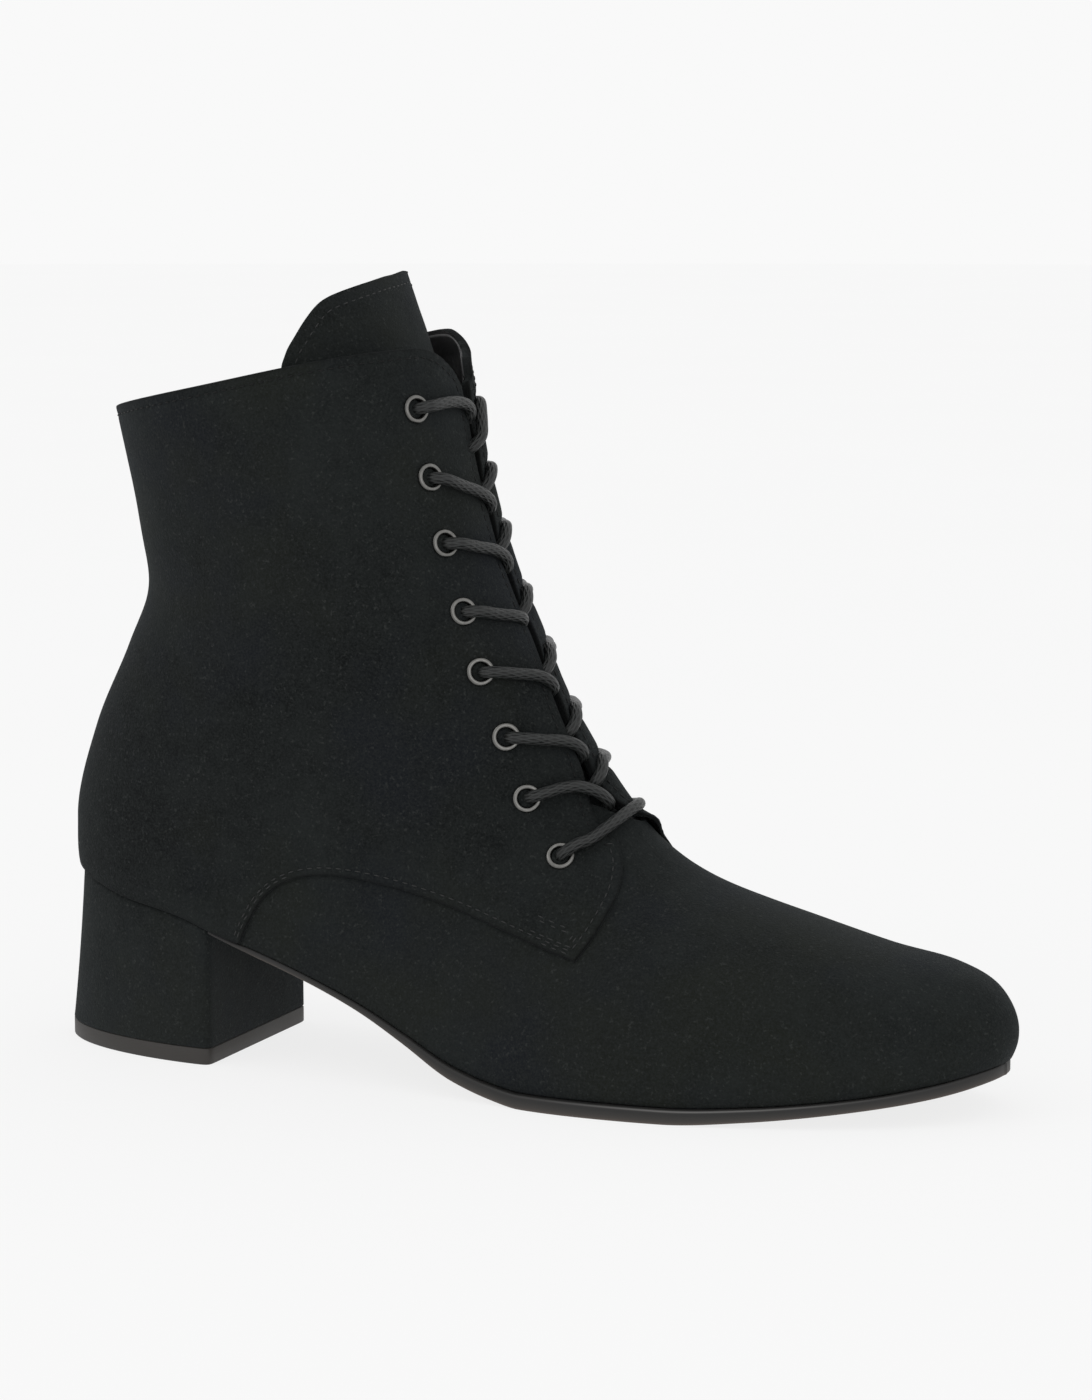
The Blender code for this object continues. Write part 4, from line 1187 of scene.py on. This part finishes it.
def build_stitches(side, word, edges, looks):
    """The rows of a quarter: round its upper edge, along its lower edge, and a block at the front corner."""
    bm = bmesh.new()
    upper = np.vstack([edges["collar"], edges["facing"], edges["front"]])
    dull_share = 1 - length_of(edges["front"]) / length_of(upper)
    even = np.linspace(0, 1, 900)
    upper = spread(inset(spread(upper, even), FACING_ROW, side), even)
    turn = int(dull_share * len(upper))
    sew_row(bm, upper[:turn], COLLAR_START, 0.0, DULL)
    sew_row(bm, upper[turn:], 0.0, LOWER_ROW)
    lower = spread(edges["lower"], np.linspace(0, 1, 500))
    whole = length_of(lower)
    sew_row(bm, inset(lower, LOWER_ROW, -side), LOWER_START, FACING_ROW)
    sew_row(bm, inset(lower, DOUBLED_ROW, -side), DOUBLED_ROW, whole - DOUBLED_BACK)
    for distance in FRONT_ROWS:
        sew_row(bm, inset(lower, distance, -side), whole - DOUBLED_FRONT, FRONT_END)
    for distance in BLOCK_ROWS:
        block = inset(lower, distance, -side)
        sew_row(bm, block, length_of(block) - BLOCK_LENGTH - distance, distance - BLOCK_END)
    front = spread(edges["front"][::-1], np.linspace(0, 1, 300))
    for distance in BLOCK_BARS:
        bar = inset(front, distance, -side)
        sew_row(bm, bar, BAR_START, length_of(bar) - BLOCK_ROWS[0])
    return finish_piece("stitches_" + word, bm, looks)


def front_point(place, y, level):
    """A point at a level over the front, y from the ridge."""
    return lifted(place, front_turn(place, y), level)


def lace_spot(number, side):
    """An eyelet's place, and its y from the ridge."""
    place, turn = locate([EYELETS[side][number]], side)[0]
    ridge_y = section_values(place)[-1]
    return float(place), float(surface(place, turn)[1] - ridge_y)


def up_through(number, side, towards):
    """The lace from inside the boot up through an eyelet and over its ring, to the next point of its run."""
    place, y = lace_spot(number, side)
    slope = (towards.place - place) / abs(towards.y - y)
    return [
        front_point(place + slope * step.lean, y - side * step.lean, step.level) for step in LACE_THROUGH
    ]


def down(place, distance):
    """The place this far down the front ridge from another."""
    ahead, behind = (surface(place + step, 1.0) for step in (RIDGE_STEP, -RIDGE_STEP))
    return place + distance / float(np.linalg.norm(ahead - behind) / (2 * RIDGE_STEP))


def run_over(number, side):
    """A strand's run from past its ring over its own facing to its dive into the throat."""
    if side == LATERAL:
        return NEAR_RUNS[number]
    start, _ = lace_spot(number, side)
    run = []
    for step in FAR_RUN if number else FAR_RUN_TOP:
        place = down(start, step.drop)
        run.append(LaceStep(place, float(throat_edge(place, side)) + step.past, step.level))
    return run


def facing_line(number, side, shares):
    """Points under a strand from its ring to the facing's edge, on the vamp's level."""
    knots = np.array([lace_spot(number, side)] + [step[:2] for step in run_over(number, side)[:-1]])
    length = np.concatenate([[0.0], np.cumsum(np.abs(np.diff(knots[:, 1])))])
    place, y = (np.interp(shares, length / length[-1], knots[:, i]) for i in range(2))
    return surface(place, front_turn(place, y))


def cross_over(number, side):
    """From an eyelet over its facing, down in the throat and on inside to the next eyelet opposite."""
    run = run_over(number, side)
    last = run[-1]
    next_place, next_y = lace_spot(number + 1, -side)
    points = [front_point(*step) for step in run]
    dive_level = between(last.level, LACE_INSIDE, DIVE_SHARE)
    points.append(front_point(last.place, last.y - side * DIVE, dive_level))
    for share in INSIDE_SHARES:
        place = between(last.place, next_place, share)
        points.append(front_point(place, between(last.y, next_y, share), LACE_INSIDE))
    return points


def lace_strand(first_side):
    """One half of the lace, from the top eyelet of a side down to the last one, changing sides at each."""
    points = []
    side = first_side
    for number in range(EYELET_COUNT - 1):
        points += up_through(number, side, run_over(number, side)[0])
        points += cross_over(number, side)
        side = -side
    return points + up_through(EYELET_COUNT - 1, side, BAR_RUN[0 if side == LATERAL else -1]), side


def lace_route():
    """The whole lace: down one half, across the bar at the bottom and up the other half."""
    first, end_side = lace_strand(LATERAL)
    second, _ = lace_strand(MEDIAL)
    bar = [front_point(*step) for step in BAR_RUN]
    if end_side == MEDIAL:
        bar = bar[::-1]
    return first + bar + second[::-1]


def lace_path():
    """The lace's centre line, in even steps."""
    line = smooth_line(lace_route(), 24)
    path = along_line(line, np.linspace(0, 1, max(2, int(lengths(line)[-1] / LACE_STEP))))
    for _ in range(LACE_EASINGS):
        path[1:-1] = (path[:-2] + 2 * path[1:-1] + path[2:]) / 4
    return path


def build_lace(path, looks):
    """The lace as a round tube along its path."""
    along = unit(np.gradient(path, axis=0))
    side = np.cross(along[0], (0.0, 0.0, 1.0))
    frames = []
    for direction in along:
        side = unit(side - direction * side.dot(direction))
        frames.append((side, np.cross(direction, side)))
    angle = np.linspace(0, 2 * math.pi, LACE_SIDES + 1)
    rings = [
        centre + LACE_RADIUS * (np.cos(angle)[:, None] * a + np.sin(angle)[:, None] * b)
        for centre, (a, b) in zip(path, frames)
    ]
    bm = bmesh.new()
    bm.loops.layers.uv.new("braid")
    lay(bm, np.array(rings))
    return close_tube("lace", bm, looks)


# Materials


class Socket:
    """A shader value that takes part in sums."""

    def __init__(self, look, socket):
        self.look = look
        self.socket = socket

    def math(self, operation, first, second):
        return self.look.node("ShaderNodeMath", {"operation": operation}, {0: first, 1: second})

    def __add__(self, other):
        return self.math("ADD", self, other)

    def __sub__(self, other):
        return self.math("SUBTRACT", self, other)

    def __rsub__(self, other):
        return self.math("SUBTRACT", other, self)

    def __mul__(self, other):
        return self.math("MULTIPLY", self, other)

    def __pow__(self, other):
        return self.math("POWER", self, other)

    __radd__ = __add__
    __rmul__ = __mul__


class Look:
    """One material: its nodes round a Principled shader."""

    def __init__(self, name, **constants):
        self.material = bpy.data.materials.new(name)
        self.material.use_nodes = True
        self.tree = self.material.node_tree
        self.shader = self.tree.nodes["Principled BSDF"]
        for socket, value in constants.items():
            self.shader.inputs[socket.replace("_", " ")].default_value = value

    def node(self, kind, settings=None, sockets=None, output=0):
        made = self.tree.nodes.new(kind)
        for name, value in (settings or {}).items():
            if name == "stops":
                self.set_stops(made.color_ramp, value)
            else:
                setattr(made, name, value)
        for name, value in (sockets or {}).items():
            self.feed(made.inputs[name], value)
        return Socket(self, made.outputs[output])

    def set_stops(self, ramp, stops):
        while len(ramp.elements) < len(stops):
            ramp.elements.new(0.5)
        for element, (position, colour) in zip(ramp.elements, stops):
            element.position = position
            element.color = colour

    def feed(self, socket, value):
        if isinstance(value, Socket):
            self.tree.links.new(value.socket, socket)
        else:
            socket.default_value = value

    def coordinates(self):
        return self.node("ShaderNodeTexCoord", output="Object")

    def mark(self, name):
        return self.node("ShaderNodeAttribute", {"attribute_name": name}, output="Fac")

    def noise(self, where, scale, detail=2.0, roughness=0.5):
        sockets = {"Vector": where, "Scale": scale, "Detail": detail, "Roughness": roughness}
        return self.node("ShaderNodeTexNoise", {}, sockets)

    def ramp(self, value, *stops):
        return self.node("ShaderNodeValToRGB", {"stops": stops}, {0: value})

    def mix(self, factor, first, second):
        settings = {"data_type": "RGBA", "clamp_factor": True}
        return self.node("ShaderNodeMix", settings, {0: factor, 6: first, 7: second}, output=2)

    def bump(self, height, strength, distance):
        return self.node("ShaderNodeBump", {}, {"Height": height, "Strength": strength, "Distance": distance})

    def finish(self, **links):
        for socket, value in links.items():
            self.feed(self.shader.inputs[socket.replace("_", " ")], value)
        return self.material


def suede_look(name, lightness):
    """Black napped suede: brushed patches in cool and warm tints, short fibres and a soft sheen."""
    look = Look(name, Metallic=0.0, Sheen_Weight=0.03, Sheen_Roughness=0.5, Specular_IOR_Level=0.07)
    look.shader.inputs["Sheen Tint"].default_value = (0.84, 0.94, 1.0, 1.0)

    def shade(*values):
        return tuple(lightness * value for value in values) + (1.0,)

    def between_tones(value, low, high):
        return look.ramp(value, (low, (0, 0, 0, 1)), (high, (1, 1, 1, 1)))

    where = look.coordinates()
    broad = look.noise(where, 15.0, 2.0, 0.5)
    patches = look.noise(where, 60.0, 4.0, 0.6)
    brushed = look.noise(where, 240.0, 4.0, 0.65)
    fibres = look.noise(where, 1700.0, 3.0, 0.75)
    dust = look.noise(where, 1100.0, 2.0, 0.6)
    tone = between_tones(broad * 0.45 + patches * 0.30 + brushed * 0.25, 0.36, 0.64)
    base = look.mix(tone, shade(0.0042, 0.0051, 0.0051), shade(0.0130, 0.0153, 0.0150))
    cool = between_tones(look.noise(where, 22.0, 3.0, 0.6), 0.48, 0.62)
    base = look.mix(cool * 0.7, base, shade(0.0078, 0.0092, 0.0124))
    warm = between_tones(look.noise(where, 18.0, 3.0, 0.6), 0.49, 0.63)
    base = look.mix(warm * 0.6, base, shade(0.0116, 0.0130, 0.0094))
    grain = between_tones(fibres, 0.40, 0.62)
    base = look.mix(grain * 0.62, base, shade(0.0200, 0.0223, 0.0220))
    speck = between_tones(dust, 0.60, 0.72)
    base = look.mix(speck * 0.45, base, shade(0.044, 0.047, 0.045))
    base = look.mix(look.mark("rim_shade") * 0.75, base, (0.003, 0.003, 0.003, 1.0))
    nap = look.bump(fibres * 0.9 + brushed * 0.5, 0.6, 0.0005)
    return look.finish(Base_Color=base, Roughness=0.84 + 0.14 * fibres, Normal=nap)


def lining_look():
    """Smooth black lining leather with fine pores."""
    look = Look("lining leather", Specular_IOR_Level=0.4)
    where = look.coordinates()
    grain = look.node("ShaderNodeTexVoronoi", {"feature": "F1"}, {"Vector": where, "Scale": 1600.0})
    wear = look.noise(where, 60.0, 3.0)
    base = look.mix(wear, (0.015, 0.015, 0.016, 1.0), (0.026, 0.026, 0.027, 1.0))
    return look.finish(Base_Color=base, Roughness=0.36 + 0.14 * wear, Normal=look.bump(grain, 0.18, 0.0002))


def rubber_look(name, edged):
    """Grey-brown sole rubber with a fine matte moulding texture, and the tones of the sole's edge: darker at
    its top, lighter and browner towards its foot, with a painted highlight on its top rim.
    """
    look = Look(name, Specular_IOR_Level=0.35)
    where = look.coordinates()
    grain = look.noise(where, 3200.0, 2.0)
    scuffs = look.noise(where, 90.0, 4.0, 0.6)
    base = look.mix(scuffs, (0.022, 0.020, 0.018, 1.0), (0.038, 0.0345, 0.0315, 1.0))
    if edged:
        tone = look.ramp(
            look.mark("edge_drop"), (0.0, (0.010, 0.010, 0.010, 1.0)), (0.32, (0.011, 0.011, 0.011, 1.0)),
            (0.62, (0.026, 0.024, 0.022, 1.0)), (0.82, (0.044, 0.037, 0.033, 1.0)),
            (1.0, (0.105, 0.085, 0.072, 1.0)),
        )
        base = look.mix(scuffs * 0.3, tone, base)
        # Painted highlight on the sole's top rim beside the ball
        base = look.mix(look.mark("edge_shine"), base, (0.125, 0.122, 0.119, 1.0))
    return look.finish(Base_Color=base, Roughness=0.46 + 0.22 * scuffs, Normal=look.bump(grain, 0.22, 0.0002))


def metal_look():
    """Gunmetal plating with fine brushing, with painted shade darkening the rings' walls below their crowns.
    """
    look = Look("gunmetal", Metallic=1.0)
    where = look.coordinates()
    haze = look.noise(where, 900.0, 3.0)
    base = look.mix(haze, (0.12, 0.118, 0.112, 1.0), (0.25, 0.247, 0.236, 1.0))
    # Painted shade: the rings' walls below their crowns are darkened
    base = look.mix(look.mark("crown"), (0.030, 0.030, 0.029, 1.0), base)
    return look.finish(Base_Color=base, Roughness=0.20 + 0.14 * haze)


THREAD_TONES = ((0.0070, 0.0074, 0.0074), (0.0230, 0.0240, 0.0240))


def thread_look(name, lightness):
    """Twisted sewing thread."""
    look = Look(name, Specular_IOR_Level=0.4 * lightness)
    twist = look.noise(look.coordinates(), 5200.0, 2.0)
    low, high = (tuple(lightness * tone for tone in tones) + (1.0,) for tones in THREAD_TONES)
    base = look.mix(twist, low, high)
    return look.finish(Base_Color=base, Roughness=0.48 + 0.2 * twist)


BRAID_STRANDS = 9.0
BRAID_SLANT = 0.28


def lace_look(length):
    """Round waxed braid: strands crossing in two slanting families, with painted shade in the grooves between
    the strands.
    """
    look = Look("waxed braid", Specular_IOR_Level=0.38)
    where = look.node("ShaderNodeUVMap", {"uv_map": "braid"})
    around = look.node("ShaderNodeSeparateXYZ", {}, {0: where})
    along = Socket(look, around.socket.node.outputs[1])
    slant = along * (length / (2 * math.pi * LACE_RADIUS) * BRAID_SLANT)
    waves = 2 * math.pi * BRAID_STRANDS
    right, left = (turn.math("SINE", turn * waves, 0.0) for turn in (around + slant, around - slant))
    weave = right.math("MAXIMUM", right, left)
    fuzz = look.noise(look.coordinates(), 2400.0, 2.0)
    # Painted shade: the base colour is darker in the grooves between the strands than on their crowns
    shade = look.ramp(weave * 0.5 + 0.5, (0.35, (0, 0, 0, 1)), (0.97, (1, 1, 1, 1)))
    low, high = (0.0022, 0.0025, 0.0025, 1.0), (0.0205, 0.0224, 0.0218, 1.0)
    base = look.mix(shade * 0.8 + fuzz * 0.2, low, high)
    ribs = look.bump(weave + fuzz * 0.5, 0.5, 0.00025)
    return look.finish(Base_Color=base, Roughness=0.30 + 0.3 * fuzz, Normal=ribs)


# Stage


def build_stage():
    """A pale floor, a bright even surround and soft lights."""
    scene = bpy.context.scene
    scene.view_settings.view_transform = "Standard"
    bm = bmesh.new()
    bmesh.ops.create_circle(bm, cap_ends=True, segments=96, radius=FLOOR_RADIUS)
    look = Look("pale floor", Roughness=0.9, Specular_IOR_Level=0.0, Emission_Strength=1.0)
    tone = look.noise(look.coordinates(), 3.0)
    base = look.mix(tone, (0.135, 0.135, 0.135, 1), (0.145, 0.145, 0.145, 1))
    pale = look.finish(Base_Color=base, Emission_Color=(0.80, 0.80, 0.80, 1.0))
    floor = add_to_scene("floor", mesh_from("floor", bm, [pale]))
    world = bpy.data.worlds.new("studio")
    scene.world = world
    world.use_nodes = True
    background = world.node_tree.nodes["Background"]
    background.inputs["Color"].default_value = (0.947, 0.947, 0.947, 1.0)
    background.inputs["Strength"].default_value = 1.0
    for lamp in LAMPS:
        data = bpy.data.lights.new(lamp.name, "AREA")
        data.energy = lamp.energy
        data.size = lamp.size
        light = add_to_scene(lamp.name, data)
        light.location = lamp.place
        light.rotation_euler = (TARGET - light.location).to_track_quat("-Z", "Y").to_euler()


def build_camera():
    """The camera, round its target by its two angles."""
    data = bpy.data.cameras.new("camera")
    data.lens = LENS
    data.sensor_width = SENSOR
    camera = add_to_scene("camera", data)
    turn, rise = math.radians(AZIMUTH), math.radians(ELEVATION)
    back = Vector((math.sin(turn) * math.cos(rise), -math.cos(turn) * math.cos(rise), math.sin(rise)))
    camera.location = TARGET + DISTANCE * back
    camera.rotation_euler = (-back).to_track_quat("-Z", "Y").to_euler()
    bpy.context.scene.camera = camera


def main():
    build_stage()
    build_camera()
    suede = suede_look("black suede", 0.92)
    heel_suede = suede_look("heel suede", 1.0)
    lining = lining_look()
    sole = rubber_look("sole rubber", True)
    lift = rubber_look("lift rubber", False)
    metal = metal_look()
    threads = [thread_look("light thread", 1.0), thread_look("dull thread", 0.45)]
    for side, word in SIDES:
        quarter, edges = build_quarter(side, word, [suede, lining])
        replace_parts(quarter, "upper")
        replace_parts(build_lining(side, word, edges, [lining]), "upper")
        build_stitches(side, word, edges, threads)
    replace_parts(build_vamp([suede, lining]), "upper")
    tongue, face, normals = build_tongue([suede, lining])
    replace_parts(tongue, "tongue")
    build_tongue_stitches(face, normals, threads)
    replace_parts(build_insole([lining]), "insole")
    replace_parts(build_outsole([sole]), "outsole")
    heel, lift_piece = build_heel([heel_suede], [lift])
    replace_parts(heel, "heel_block")
    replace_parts(lift_piece, "top_lift")
    for ring in build_eyelets([metal]):
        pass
    path = lace_path()
    length = float(lengths(path)[-1])
    lace = build_lace(path, [lace_look(length)])
    nodes = ["lace_crossing_%d" % n for n in range(1, EYELET_COUNT)] + ["lace_bar"]
    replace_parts(lace, *nodes)


main()
